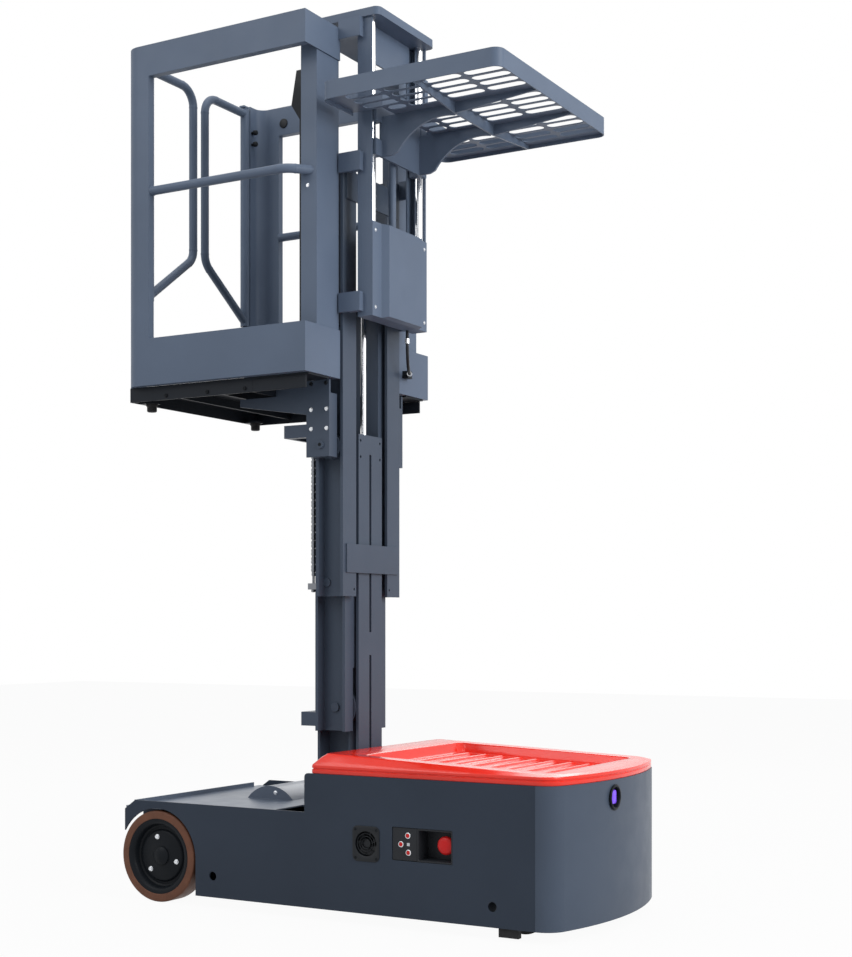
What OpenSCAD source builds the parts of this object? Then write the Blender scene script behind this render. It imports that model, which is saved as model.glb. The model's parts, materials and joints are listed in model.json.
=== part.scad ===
// Order picker truck: low drive chassis, telescopic mast, standing platform with gates and a lifting load tray.
// Frame: +X is the battery end, -X the platform entrance, +Y the far side, +Z up.
// The origin is on the floor under the middle of the truck. All sizes are in millimetres.

/* [Chassis] */
// Overall width of chassis and cab
truck_w = 740; // [720:1:800]
// Distance from the origin to the nose and to the cab's rear face
half_len = 796; // [780:1:860]
// Distance from the origin to the chassis plates' rear ends
rear_len = 788; // [770:1:796]
// Thickness of the chassis plates
plate_t = 6; // [4:0.5:8]
// Floor clearance under the side plates
ground_gap = 34; // [25:1:45]
// Height of the low side plates beside the deck
low_top = 320; // [312:1:340]
// Height of the battery box side plates
box_top = 437; // [400:1:470]
// Where the side plates step up, behind the origin
step_back = 91; // [75:1:95]
// Chamfer at the rear ends of the side plates, along the truck
tail_chamfer = 42; // [20:1:60]
// How far the nose bulges ahead of its corners
nose_bulge = 45; // [25:1:60]
// Radius of the nose corners
nose_corner = 70; // [40:1:100]
// Height of the deck's top face
deck_top = 300; // [292:1:306]
// Deck sheet thickness
deck_t = 5; // [3:0.5:8]
// Rise of the pump cover above the deck
hump_rise = 44; // [30:1:60]
// Radius of the pump cover
hump_r = 118; // [100:1:140]
// Pump cover's middle, behind the origin
hump_back = 489; // [475:1:500]
// Diameter of the inspection holes in the side plates
side_hole_d = 28; // [18:1:34]

/* [Wheels] */
// Drive wheel diameter
wheel_d = 290; // [270:1:294]
// Drive wheel tyre width
wheel_w = 74; // [60:1:78]
// Drive wheel rim diameter inside the tyre
rim_d = 238; // [210:1:246]
// Drive axle's distance ahead of the chassis plates' rear ends
axle_in = 133; // [128:1:143]
// Radius of the wheel arch
arch_r = 153; // [151:0.5:156]
// Castor wheel diameter
castor_d = 150; // [130:1:156]
// Castor wheel width
castor_w = 46; // [36:1:50]
// Castor trail between swivel axis and axle
castor_trail = 35; // [25:1:40]
// Castor swivel axis, behind the nose
castor_back = 176; // [171:1:196]
// Castor swivel axis, inside the chassis side
castor_in = 138; // [134:1:150]

/* [Mast] */
// Front face of the fixed mast stage, behind the origin
mast_front = 88; // [86:1:92]
// Depth of the fixed stage along the truck
stage1_depth = 156; // [154:1:158]
// Half width of the fixed stage over its flange tips
stage1_half = 70; // [66:1:72]
// Top of the fixed stage
stage1_top = 1486; // [1440:1:1488]
// Gap between the two fixed channels
slot_w = 12; // [8:1:14]
// Depth of the middle stage along the truck
stage2_depth = 112; // [108:1:114]
// Half width of the middle stage over its flange tips
stage2_half = 122; // [118:1:123]
// Lower end of the middle stage
stage2_low = 545; // [535:1:560]
// Upper end of the middle stage
stage2_top = 1917; // [1915:1:1922]
// Depth of the outer stage along the truck
stage3_depth = 100; // [98:1:101]
// Half width of the outer stage over its flange tips
stage3_half = 171; // [169:1:172]
// Lower end of the outer stage
stage3_low = 971; // [960:1:985]
// Upper end of the outer stage
stage3_top = 2330; // [2300:1:2333]
// Web thickness of the mast channels
web_t = 8; // [6:0.5:8]
// Flange thickness of the mast channels
flange_t = 10; // [8:0.5:11]
// Outer diameter of the lift cylinders
barrel_d = 30; // [28:1:32]
// Diameter of the lift cylinder rods
lift_rod_d = 20; // [16:1:21]
// Width of the lift chains over their plates
chain_w = 12; // [10:1:16]

/* [Cab] */
// Height of the cab panels' lower edge
cab_low = 1645; // [1640:1:1660]
// Height of the cab panels' upper edge
cab_top = 2732; // [2700:1:2745]
// Height of the lower panel
apron_h = 150; // [120:1:170]
// Height of the top beam
beam_h = 100; // [80:1:120]
// Thickness of the cab panels
panel_t = 25; // [20:1:30]
// Width of the rear uprights along the truck
upright_w = 106; // [90:1:120]
// Width of the cab's rear wall at each side of the entrance
entrance_side = 86; // [80:1:110]
// Radius of the cab's rear corners
cab_corner = 60; // [45:1:70]
// Front face of the cab's front returns, behind the origin
cab_front = 88; // [87:1:90]
// Distance of the mast side columns inside the cab's outer faces
column_side = 70; // [60:1:90]
// Depth of the mast side columns
column_t = 58; // [50:1:62]
// Handrail and gate tube diameter
tube_d = 28; // [24:1:30]
// Height of the handrails
rail_z = 2268; // [2200:1:2290]
// Depth of the platform floor pan
floor_h = 46; // [36:1:50]

/* [Load tray] */
// Half width of the load tray
tray_half = 375; // [350:1:385]
// Front edge of the load tray, ahead of the origin
tray_front = 570; // [540:1:590]
// Rear edge of the load tray, behind the origin
tray_back = 28; // [20:1:35]
// Top edge of the load tray's rim
tray_top = 2498; // [2490:1:2505]
// Height of the tray's rim
tray_rim = 54; // [40:1:60]
// How far the rim hangs below the tray's sheet
tray_lip = 12; // [8:1:20]
// Tray sheet thickness
tray_t = 3; // [2:0.5:5]
// Length of the tray's slots
slot_len = 122; // [100:1:124]
// Width of the tray's slots
slot_h = 38; // [24:1:40]

/* [Hidden] */

paint = "#3b4350";
paint_light = "#5a6675";
black = "#17181a";
red = "#d81e12";
tan = "#8a4a22";
chrome = "#d9dadb";
zinc = "#b9bcc0";

half_w = truck_w / 2;
inner_w = half_w - plate_t;
wheel_r = wheel_d / 2;
wheel_in = half_w - 2 - wheel_w;
axle_back = rear_len - axle_in;
castor_x = half_len - castor_back;
castor_y = half_w - castor_in;
gate_half = half_w - entrance_side;

// A block given by its lowest and highest corner
module block(a, b) {
  translate(a) cube([b[0] - a[0], b[1] - a[1], b[2] - a[2]]);
}

// The children, and their mirror image on the far side
module both_sides() {
  children();
  mirror([0, 1, 0]) children();
}

// A flat outline drawn in the XZ plane, extruded along +Y from y
module along_y(y, depth) {
  translate([0, y + depth, 0]) rotate([90, 0, 0]) linear_extrude(depth) children();
}

// A round bar along Y
module bar_y(d, y0, y1) {
  translate([0, y0, 0]) rotate([-90, 0, 0]) cylinder(d = d, h = y1 - y0, $fn = 48);
}

// Nose plan

nose_rise = nose_bulge;
nose_half = half_w - nose_corner;
nose_big_r = (pow(nose_half, 2) + pow(nose_rise, 2)) / (2 * nose_rise);
nose_mid_x = half_len - nose_big_r;
nose_reach = sqrt(pow(nose_big_r - nose_corner, 2) - pow(nose_half, 2));
nose_x = nose_mid_x + nose_reach;

// Plan of the box from x0 to the rounded nose, drawn inwards by inset
module nose_plan(x0, inset) {
  corner = nose_corner - inset;
  big_r = nose_big_r - inset;
  reach = nose_reach * 1.4;
  side = nose_half * 1.4;
  translate([x0, -half_w + inset]) square([nose_x - x0, 2 * (half_w - inset)]);
  for (s = [-1, 1]) translate([nose_x, s * nose_half]) circle(corner, $fn = 96);
  intersection() {
    translate([nose_mid_x, 0]) circle(big_r, $fn = 360);
    polygon([[nose_mid_x, 0], [nose_mid_x + reach, side], [nose_mid_x + reach, -side]]);
    translate([x0, -half_w]) square([2 * half_len, truck_w]);
  }
}

// Chassis

step_x = -step_back;
axle_x = -axle_back;
step_round = 12;
side_holes = [[axle_x + 220, 100], [half_len - 252, 92]];

step_arc = [for (a = [180 : -15 : 90]) [step_x + step_round * (1 + cos(a)), box_top - step_round * (1 - sin(a))]];

module side_outline() {
  difference() {
    polygon(concat([
      [-rear_len, ground_gap], [-rear_len, low_top - tail_chamfer * 0.7],
      [-rear_len + tail_chamfer, low_top], [step_x, low_top]
    ], step_arc, [[nose_x, box_top], [nose_x, ground_gap]]));
    translate([axle_x, wheel_r]) circle(arch_r, $fn = 96);
    translate([-rear_len - 1, 0]) square([axle_x + arch_r + rear_len + 1, wheel_r]);
    for (p = side_holes) translate(p) circle(d = side_hole_d, $fn = 32);
  }
}

// Cut-outs of the near plate only: fan grille and the switch recess
fan_x = 128;
fan_z = 240;
fan_w = 92;
fan_h = 104;
recess_x0 = 216;
recess_x1 = 417;
recess_z0 = 199;
recess_z1 = 296;
recess_depth = 62;
cut_r = 14;

module rounded_box(w, h, r) {
  square([w - 2 * r, h], center = true);
  square([w, h - 2 * r], center = true);
  for (i = [-1, 1], j = [-1, 1]) translate([i * (w / 2 - r), j * (h / 2 - r)]) circle(r, $fn = 48);
}

recess_mid = [(recess_x0 + recess_x1) / 2, (recess_z0 + recess_z1) / 2];
recess_w = recess_x1 - recess_x0;
recess_h = recess_z1 - recess_z0;

module side_plate_near() {
  color(paint) along_y(-half_w, plate_t) difference() {
    side_outline();
    translate([fan_x, fan_z]) rounded_box(fan_w - 16, fan_h - 16, cut_r);
    translate(recess_mid) rounded_box(recess_w, recess_h, 4);
  }
}

module side_plate_far() {
  color(paint) along_y(inner_w, plate_t) side_outline();
}

lamp_y = -84;
lamp_z = 386;
lamp_d = 74;
lamp_seat = 0.4;
nose_y_at = function(y) nose_mid_x + sqrt(pow(nose_big_r, 2) - y * y);
lamp_x = nose_y_at(lamp_y);

module nose_shell() {
  color(paint) difference() {
    translate([0, 0, ground_gap]) linear_extrude(box_top - ground_gap) difference() {
      nose_plan(nose_x - 2, 0);
      nose_plan(nose_x - 3, plate_t);
      translate([0, -half_w]) square([nose_x, truck_w]);
    }
    translate([lamp_x - 30, lamp_y, lamp_z]) rotate([0, 90, 0]) cylinder(d = lamp_d - 8, h = 60, $fn = 48);
  }
}

// Underframe: floor plate with castor holes, wheel well walls and the rear skirt
floor_z = 44;
floor_t = 8;
well_y = wheel_in - 14;
well_front = axle_x + arch_r + 10;
castor_swing = castor_trail + castor_d / 2 + 12;
motor_d = 130;
skirt_z = 66;

module underframe() {
  color(paint) {
    difference() {
      union() {
        translate([0, 0, floor_z]) linear_extrude(floor_t) nose_plan(well_front, plate_t);
        both_sides() {
          block([-rear_len + plate_t, well_y - plate_t, floor_z + floor_t],
                [well_front + plate_t, well_y, deck_top - deck_t]);
          block([well_front, well_y, floor_z + floor_t], [well_front + plate_t, inner_w, deck_top - deck_t]);
        }
        block([-rear_len + plate_t, -well_y, floor_z], [well_front + plate_t, well_y, floor_z + floor_t]);
        block([-rear_len, -well_y, skirt_z], [-rear_len + plate_t, well_y, deck_top - deck_t]);
      }
      both_sides() {
        translate([castor_x, castor_y, 0]) cylinder(r = castor_swing, h = 100, $fn = 72);
        translate([axle_x, 0, wheel_r]) bar_y(motor_d + 6, well_y - 20, well_y + 20);
      }
    }
  }
}

// Deck with the pump cover and the upturned rear rail; it leaves the mast well open
well_x0 = -mast_front - stage1_depth - 56;
well_half = 232;
rail_up = 14;
hump_x = -hump_back;
hump_y0 = 12;
hump_drop = hump_r - hump_rise;

module hump(r) {
  translate([hump_x, 0, deck_top - hump_drop]) children();
}

module deck() {
  color(paint_light) {
    difference() {
      union() {
        block([-rear_len, -inner_w, deck_top - deck_t], [step_x + 30, inner_w, deck_top]);
        block([-rear_len, -inner_w + 40, deck_top], [-rear_len + deck_t, inner_w - 40, deck_top + rail_up]);
        hump() intersection() {
          bar_y(2 * hump_r, hump_y0, inner_w - 60);
          block([-hump_r, 0, hump_drop - deck_t], [hump_r, inner_w, hump_r]);
        }
      }
      hump() bar_y(2 * (hump_r - deck_t), hump_y0 + deck_t, inner_w - 60 - deck_t);
      block([well_x0, -well_half, 0], [step_x + 31, well_half, box_top]);
    }
  }
}

battery_x0 = -30;
battery_x1 = castor_x - 150;
battery_half = half_w - 110;
battery_top = 410;

module battery_block() {
  color(black) block([battery_x0, -battery_half, floor_z + floor_t], [battery_x1, battery_half, battery_top]);
}

// Red cover: sloping top, chamfered edge, pocket with cross ribs
// Cross plates of the outer stage pass behind the cover when the mast lowers
cross3_t = 5;
cover_gap = 6;
cover_x0 = -mast_front + 6 + cross3_t + cover_gap;
cover_skirt = 25;
cover_back_z = 498;
cover_nose_z = 464;
cover_edge = 26;
cover_back_edge = 38;
pocket_x0 = 75;
pocket_x1 = half_len - 106;
pocket_half = half_w - 78;
pocket_depth = 31;
pocket_round = 24;
rib_count = 9;
rib_w = 10;
rib_h = 7;
cover_slope = atan((cover_back_z - cover_nose_z) / (half_len - cover_x0));
cover_t = 5;

function cover_z(x) = cover_back_z - (x - cover_x0) * tan(cover_slope);

// A thin slice lying in the sloping top plane, lowered by drop
module on_slope(drop, h) {
  translate([cover_x0, 0, cover_back_z - drop]) rotate([0, cover_slope, 0]) translate([-cover_x0, 0, 0])
    linear_extrude(h) children();
}

module pocket_plan(inset) {
  w = pocket_x1 - pocket_x0 - 2 * inset;
  translate([(pocket_x0 + pocket_x1) / 2, 0]) rounded_box(w, 2 * (pocket_half - inset), pocket_round);
}

module red_cover() {
  color(red) {
    difference() {
      union() {
        difference() {
          hull() {
            translate([0, 0, box_top]) linear_extrude(cover_skirt) nose_plan(cover_x0, 2);
            on_slope(1, 1) nose_plan(cover_x0 + cover_back_edge, cover_edge);
          }
          hull() {
            translate([0, 0, box_top - 1]) linear_extrude(cover_skirt - 2) nose_plan(cover_x0 + cover_t, 2 + cover_t);
            on_slope(cover_t + 1, 1) nose_plan(cover_x0 + cover_back_edge + 2, cover_edge + cover_t);
          }
        }
        on_slope(pocket_depth + cover_t, pocket_depth + 2) pocket_plan(-cover_t);
      }
      hull() {
        on_slope(pocket_depth, 1) pocket_plan(12);
        on_slope(-2, 1) pocket_plan(0);
      }
    }
    for (i = [0 : rib_count - 1]) {
      x = pocket_x0 + (i + 1) * (pocket_x1 - pocket_x0) / (rib_count + 1);
      translate([x - rib_w / 2, -pocket_half + 34, cover_z(x) - pocket_depth - 1])
        cube([rib_w, 2 * pocket_half - 68, rib_h]);
    }
  }
}

// Drive units: motor and gear housing that carry the wheels
motor_in = 92;
shaft_d = 44;

module drive_units() {
  color(black) both_sides() translate([axle_x, 0, wheel_r]) {
    bar_y(motor_d, motor_in, well_y + 4);
    bar_y(motor_d + 28, well_y - plate_t - 14, well_y - plate_t);
    bar_y(shaft_d, well_y + 4, wheel_in + 12);
  }
}

bridge_z = castor_d + 45;
bridge_half = 100;
bridge_t = 8;
bridge_front = castor_x + castor_swing - 16;
stem_d = 20;
pivot_d = 15;

// Castor bridges: raised seats that span the holes in the floor plate
module castor_bridges() {
  color(paint) both_sides() {
    difference() {
      block([castor_x - castor_swing - 14, castor_y - bridge_half, bridge_z],
            [bridge_front, castor_y + bridge_half, bridge_z + bridge_t]);
      translate([castor_x, castor_y, 0]) cylinder(d = stem_d + 0.1, h = 2 * bridge_z, $fn = 32);
    }
    block([castor_x - castor_swing - 14, castor_y - bridge_half, floor_z + floor_t],
          [castor_x - castor_swing - 6, castor_y + bridge_half, bridge_z]);
    block([bridge_front - 8, castor_y - bridge_half, bridge_z - 30],
          [bridge_front, castor_y + bridge_half, bridge_z + bridge_t]);
  }
}

// Mast

st1_x1 = -mast_front;
st1_x0 = st1_x1 - stage1_depth;
st2_x1 = st1_x1 - 18;
st2_x0 = st2_x1 - stage2_depth;
st3_x1 = st1_x1 + 6;
st3_x0 = st3_x1 - stage3_depth;
st1_web = slot_w / 2;
st2_web = stage1_half + 6;
st3_web = stage2_half + 8;

// Plan of a channel that opens outwards, with its web face at y
module channel_plan(x0, x1, y, tip) {
  translate([x0, y]) square([x1 - x0, web_t]);
  translate([x0, y]) square([flange_t, tip - y]);
  translate([x1 - flange_t, y]) square([flange_t, tip - y]);
}

mast_foot_t = 12;
tie_low = [784, 858];
tie_top = [1425, stage1_top];

stay_y = 58;
stay_z = [1414, 1466];
stay_d = 9;

module mast_stage1() {
  color(paint) {
    both_sides() difference() {
      translate([0, 0, floor_z + floor_t]) linear_extrude(stage1_top - floor_z - floor_t)
        channel_plan(st1_x0, st1_x1, st1_web, stage1_half);
      for (z = stay_z) translate([st1_x1 - flange_t - 1, stay_y, z]) rotate([0, 90, 0])
        cylinder(d = stay_d, h = flange_t + 2, $fn = 32);
    }
    for (t = [[floor_z + floor_t, 300], tie_low, tie_top])
      block([st1_x0, -st1_web, t[0]], [st1_x1, st1_web, t[1]]);
    both_sides() {
      block([st1_x0 - 40, stage1_half - 20, floor_z + floor_t],
            [st1_x1 + 20, stage1_half + 40, floor_z + floor_t + mast_foot_t]);
    }
  }
}

barrel_x = st1_x1 - 47;
barrel_y = st1_web + web_t + barrel_d / 2 + 4;
barrel_top = 1440;
barrel_foot = floor_z + floor_t + 10;
rod_gap = 2;

module lift_cylinders() {
  color(black) both_sides() translate([barrel_x, barrel_y, 0]) difference() {
    union() {
      translate([0, 0, floor_z + floor_t]) cylinder(d = barrel_d, h = barrel_top - floor_z - floor_t, $fn = 48);
      translate([0, 0, barrel_top - 24]) cylinder(d = barrel_d + 4, h = 24, $fn = 48);
    }
    translate([0, 0, barrel_foot]) cylinder(d = lift_rod_d + 2 * rod_gap, h = barrel_top, $fn = 48);
  }
}

// Middle stage
crosshead_t = 12;
tie2_z = [560, 604];
tie2_x0 = st1_x0 - 28;
roller_gap = 0.3;
roller2_d = stage1_depth - 2 * flange_t - 2 * roller_gap;
roller2_y = [56, 72];
roller2_z = stage2_low + roller2_d / 2 + 7;
pad_z = [745, 1450];
pad_w = 18;

module mast_stage2() {
  color(paint) {
    both_sides() {
      translate([0, 0, stage2_low]) linear_extrude(stage2_top - stage2_low)
        channel_plan(st2_x0, st2_x1, st2_web, stage2_half);
      block([st2_x1 - flange_t, st2_web - pad_w, pad_z[0]], [st2_x1, st2_web + web_t, pad_z[1]]);
      block([tie2_x0, st2_web, tie2_z[0]], [st2_x0, stage2_half, tie2_z[1]]);
      translate([(st1_x0 + st1_x1) / 2, 0, roller2_z]) {
        bar_y(roller2_d, roller2_y[0], roller2_y[1]);
        bar_y(30, roller2_y[1], st2_web + web_t + 6);
      }
    }
    block([tie2_x0, -st2_web - web_t, tie2_z[0]], [tie2_x0 + flange_t, st2_web + web_t, tie2_z[1]]);
    block([st2_x0, -st2_web - web_t, stage2_top - crosshead_t], [st2_x1, st2_web + web_t, stage2_top]);
  }
}

rod_foot = 520;

module lift_rods() {
  color(chrome) both_sides() translate([barrel_x, barrel_y, rod_foot])
    cylinder(d = lift_rod_d, h = stage2_top - crosshead_t - rod_foot, $fn = 48);
}

// Outer stage
cross3 = [[1045, 1135], [2210, 2300]];
cross3_half = 155;
lip_in = 94;
roller3_d = stage2_depth - 2 * flange_t - 2 * roller_gap;
roller3_z = stage3_low + 44;
small_hole_d = 8;

module mast_stage3() {
  color(paint) {
    difference() {
      both_sides() {
        translate([0, 0, stage3_low]) linear_extrude(stage3_top - stage3_low) {
          channel_plan(st3_x0, st3_x1, st3_web, stage3_half);
          translate([st3_x1 - flange_t, lip_in]) square([flange_t, st3_web - lip_in + 1]);
        }
        translate([(st2_x0 + st2_x1) / 2, 0, roller3_z]) {
          bar_y(roller3_d, st2_web + web_t + 8, stage2_half - 4);
          bar_y(28, stage2_half - 4, st3_web + web_t + 5);
        }
      }
      both_sides() translate([st3_x1 - 20, lip_in + 12, stage3_low + 22]) rotate([0, 90, 0])
        cylinder(d = small_hole_d, h = 40, $fn = 24);
    }
    for (c = cross3) block([st3_x1, -cross3_half, c[0]], [st3_x1 + cross3_t, cross3_half, c[1]]);
  }
}

chain_y = 150;
chain_x = st3_x0 - 24;
chain_z0 = 1034;
chain_z1 = 1890;
lug_z = [992, 1012];

module lift_chains() {
  color(zinc) both_sides() translate([chain_x, 0, chain_z0]) {
    block([-6, chain_y - chain_w / 2, 0], [6, chain_y - 3, chain_z1 - chain_z0]);
    block([-6, chain_y + 3, 0], [6, chain_y + chain_w / 2, chain_z1 - chain_z0]);
    block([-4, chain_y - 3, 0], [4, chain_y + 3, chain_z1 - chain_z0]);
    translate([0, chain_y, -34]) cylinder(d = 9, h = 34, $fn = 32);
    translate([0, chain_y, -52]) cylinder(d = 16, h = 10, $fn = 6);
  }
  color(paint) both_sides() difference() {
    block([chain_x - 12, chain_y - 14, lug_z[0]], [st3_x0, chain_y + 14, lug_z[1]]);
    translate([chain_x, chain_y, lug_z[0] - 1]) cylinder(d = 9, h = 60, $fn = 32);
  }
}

// Carriage

arm_y = 221;
arm_in = stage3_half + 6;
car_x0 = -183;
car_x1 = -100;
car_low = 1402;
car_top = cab_low - floor_h;
pan_t = 6;
floor_notch_x = -300;
bar_z = [1465, 1505];
bar_x0 = -269;
arm_x0 = -440;
roller4_z = 1439;
roller4_x = (st3_x0 + st3_x1) / 2;
roller4_d = stage3_depth - 2 * flange_t - 2 * roller_gap;
upper_roller_z = 1790;

arm_knee_z = car_low + 133;

// Side outline of a carriage arm: deep at the mast, curving up to the floor
module arm_outline() {
  sweep_r = 330;
  difference() {
    polygon([[arm_x0, car_top], [arm_x0, car_top - 24], [car_x0 - 2, arm_knee_z], [car_x0 - 2, car_low],
             [car_x1, car_low], [car_x1, cab_low - pan_t], [floor_notch_x, cab_low - pan_t], [floor_notch_x, car_top]]);
    translate([car_x0 - 2 - sweep_r, arm_knee_z - sweep_r + 40]) circle(sweep_r, $fn = 120);
  }
}

module carriage_frame() {
  color(paint) {
    both_sides() {
      along_y(arm_y - 8, 8) arm_outline();
      block([car_x0, arm_in, car_low], [car_x1, arm_in + 8, car_top]);
      block([car_x1 - 8, arm_in, car_low], [car_x1, arm_y, car_top]);
      block([bar_x0, arm_y - 30, bar_z[0]], [car_x0, arm_y, bar_z[1]]);
      for (z = [roller4_z, upper_roller_z]) translate([roller4_x, 0, z])
        bar_y(roller4_d, st3_web + web_t + 11, stage3_half - 1);
      translate([roller4_x, 0, roller4_z]) bar_y(24, stage3_half - 1, arm_y + 6);
      translate([roller4_x, 0, upper_roller_z]) bar_y(24, stage3_half - 1, arm_in + 1);
    }
    block([bar_x0, -arm_y + 30, bar_z[0]], [bar_x0 + 12, arm_y - 30, bar_z[1]]);
  }
}

floor_x0 = -half_len + 8;
floor_half = half_w - panel_t - 1;
bumper_d = 30;
bumper_z = 1574;
mat_x0 = -half_len + 51;
mat_x1 = -362;
mat_half = floor_half - 24;
mat_t = 4;

module floor_plan(inset) {
  difference() {
    translate([floor_x0 + inset, -floor_half + inset])
      square([-column_back - floor_x0 - 2 * inset, 2 * (floor_half - inset)]);
    translate([floor_notch_x - inset, -well_half - inset]) square([400, 2 * (well_half + inset)]);
  }
}

column_back = cab_front + 5;

// Floor pan: top sheet, rim and two stiffeners below
module platform_floor() {
  color(black) {
    translate([0, 0, cab_low - pan_t]) linear_extrude(pan_t) floor_plan(0);
    translate([mat_x0, -mat_half, cab_low - 1]) cube([mat_x1 - mat_x0, 2 * mat_half, mat_t + 1]);
    translate([0, 0, car_top]) linear_extrude(floor_h - pan_t) difference() {
      translate([floor_x0, -floor_half]) square([floor_notch_x - floor_x0, 2 * floor_half]);
      translate([floor_x0 + 5, -floor_half + 5]) square([floor_notch_x - floor_x0 - 10, 2 * floor_half - 10]);
    }
    for (x = [floor_x0 + 148, floor_x0 + 318])
      block([x, -floor_half + 5, car_top + 12], [x + 6, floor_half - 5, cab_low - pan_t]);
    both_sides() translate([floor_x0 + 40, floor_half - 60, bumper_z]) cylinder(d = bumper_d, h = car_top - bumper_z, $fn = 40);
    both_sides() block([floor_x0 + 4, floor_half - 80, car_top], [floor_x0 + 60, floor_half - 40, car_top + 6]);
  }
}

// Plan of the near cab wall, wrapped round the rear corner up to the entrance
module cab_wrap(t) {
  difference() {
    union() {
      translate([-half_len + cab_corner, -half_w]) square([half_len - cab_corner - cab_front, t]);
      translate([-half_len, -half_w + cab_corner]) square([t, half_w - cab_corner - gate_half]);
      translate([-half_len + cab_corner, -half_w + cab_corner]) circle(cab_corner, $fn = 96);
    }
    translate([-half_len + cab_corner, -half_w + cab_corner]) circle(cab_corner - t, $fn = 96);
    translate([-half_len + cab_corner, -half_w + t]) square([2 * half_len, half_w]);
    translate([-half_len + t, -half_w + cab_corner]) square([2 * half_len, half_w]);
    translate([-half_len - 1, -gate_half]) square([half_len, truck_w]);
  }
}

return_t = 5;

module cab_panel() {
  for (band = [[cab_low, cab_low + apron_h], [cab_top - beam_h, cab_top]]) {
    translate([0, 0, band[0]]) linear_extrude(band[1] - band[0]) cab_wrap(panel_t);
    block([-cab_front - return_t, -half_w + panel_t, band[0]], [-cab_front, -arm_in, band[1]]);
  }
  translate([0, 0, cab_low]) linear_extrude(cab_top - cab_low) intersection() {
    cab_wrap(panel_t);
    translate([-half_len, -half_w]) square([upright_w, half_w]);
  }
  for (z = [gate_low - lug_gap - lug_t, gate_top + lug_gap]) difference() {
    block([gate_x - 14, -gate_half - 4, z], [gate_x + 7, -gate_hinge_y + 14, z + lug_t]);
    translate([gate_x, -gate_hinge_y, z - 1]) cylinder(d = pin_d + 0.1, h = lug_t + 2, $fn = 32);
  }
}

module cab_panel_near() {
  color(paint) cab_panel();
}

module cab_panel_far() {
  color(paint) mirror([0, 1, 0]) cab_panel();
}

column_x1 = -cab_front - return_t;
column_w = half_w - column_side - arm_in - 1;

module cab_columns() {
  color(paint_light) both_sides()
    block([column_x1 - column_t, arm_in + 1, cab_low], [column_x1, half_w - column_side, cab_top]);
}

// A round tube bent in the XY plane: it starts along +X, each step is a length, a bend to the left and its radius.
// A weld bead closes each joint between a straight length and a bend.
bead = 1.4;

module bent_tube(steps, d, i = 0) {
  run = steps[i][0];
  bend = steps[i][1];
  r = steps[i][2];
  lead = i > 0 ? 1 : 0;
  tail = bend != 0 ? 1 : 0;
  translate([lead, 0, 0]) rotate([0, 90, 0]) cylinder(d = d, h = run - lead - tail, $fn = 40);
  if (i > 0) rotate([40, 17, 0]) sphere(d = d + bead, $fn = 40);
  if (bend != 0) translate([run, 0, 0]) {
    rotate([40, 17, 0]) sphere(d = d + bead, $fn = 40);
    translate([0, sign(bend) * r, 0]) rotate([0, 0, bend > 0 ? -90 : 90 + bend])
      rotate_extrude(angle = abs(bend), $fn = 96) translate([r, 0]) circle(d = d, $fn = 40);
    translate([r * sin(abs(bend)), sign(bend) * r * (1 - cos(bend)), 0]) rotate([0, 0, bend])
      bent_tube(steps, d, i + 1);
  }
}

hand_x0 = -half_len + upright_w;
hand_y = -half_w + 16;
hand_bend = 50;
hand_r = 60;
hand_in = -arm_in - 1 - column_w - hand_y;
hand_last = (hand_in - hand_r * (1 - cos(hand_bend))) / sin(hand_bend);
hand_x1 = -cab_front - return_t - column_t / 2 - hand_r * sin(hand_bend) - hand_last * cos(hand_bend);

module handrail() {
  difference() {
    translate([hand_x0, hand_y, rail_z])
      bent_tube([[hand_x1 - hand_x0, hand_bend, hand_r], [hand_last + 20, 0, 0]], tube_d);
    block([-cab_front - 100, hand_y + hand_in, rail_z - 50], [0, 0, rail_z + 50]);
  }
}

module handrail_near() {
  color(paint) handrail();
}

module handrail_far() {
  color(paint) mirror([0, 1, 0]) handrail();
}

// Front posts: guide channels and round guides for the load tray, with their brackets to the columns
post_x0 = -30;
post_x1 = 21;
post_y = 167;
post_t = 6;
post_flange = 42;
post_low = 1840;
crown_z = 2755;
crown_t = 25;
guide_x = 6;
guide_y = 145;
guide_d = 27;
bracket_h = 60;
bracket_z = [crown_z - bracket_h, 2282, 1849];

module front_posts() {
  color(paint) both_sides() {
    block([post_x0, post_y - post_t, post_low], [post_x1, post_y, crown_z]);
    block([post_x0, post_y - post_flange, post_low], [post_x0 + post_t, post_y - post_t, crown_z]);
    for (z = bracket_z) {
      block([-cab_front, stage3_half + 7, z], [post_x0 + 20, stage3_half + 17, z + bracket_h]);
      block([post_x0 - 26, post_y, z], [post_x0 + 20, stage3_half + 7, z + bracket_h]);
    }
  }
  color(chrome) both_sides() translate([guide_x, guide_y, post_low]) cylinder(d = guide_d, h = crown_z - post_low, $fn = 48);
}

crown_x0 = -235;
crown_x1 = 50;
crown_half = 175;
header_z = 2640;

module crown() {
  color(paint) {
    translate([(crown_x0 + crown_x1) / 2, 0, crown_z]) linear_extrude(crown_t)
      rounded_box(crown_x1 - crown_x0, 2 * crown_half, 20);
    block([post_x0 + post_t, -post_y + post_flange, header_z], [post_x0 + 2 * post_t, post_y - post_flange, crown_z]);
  }
}

// Control housing between the front posts, with the tray cylinder behind it
housing_z0 = 1834;
housing_z1 = 2126;
housing_x = 24;
cover_out = 21;
cover_half = 101;
tray_barrel_d = 44;
tray_rod_d = 24;
tray_rod_x = 2;

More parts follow.
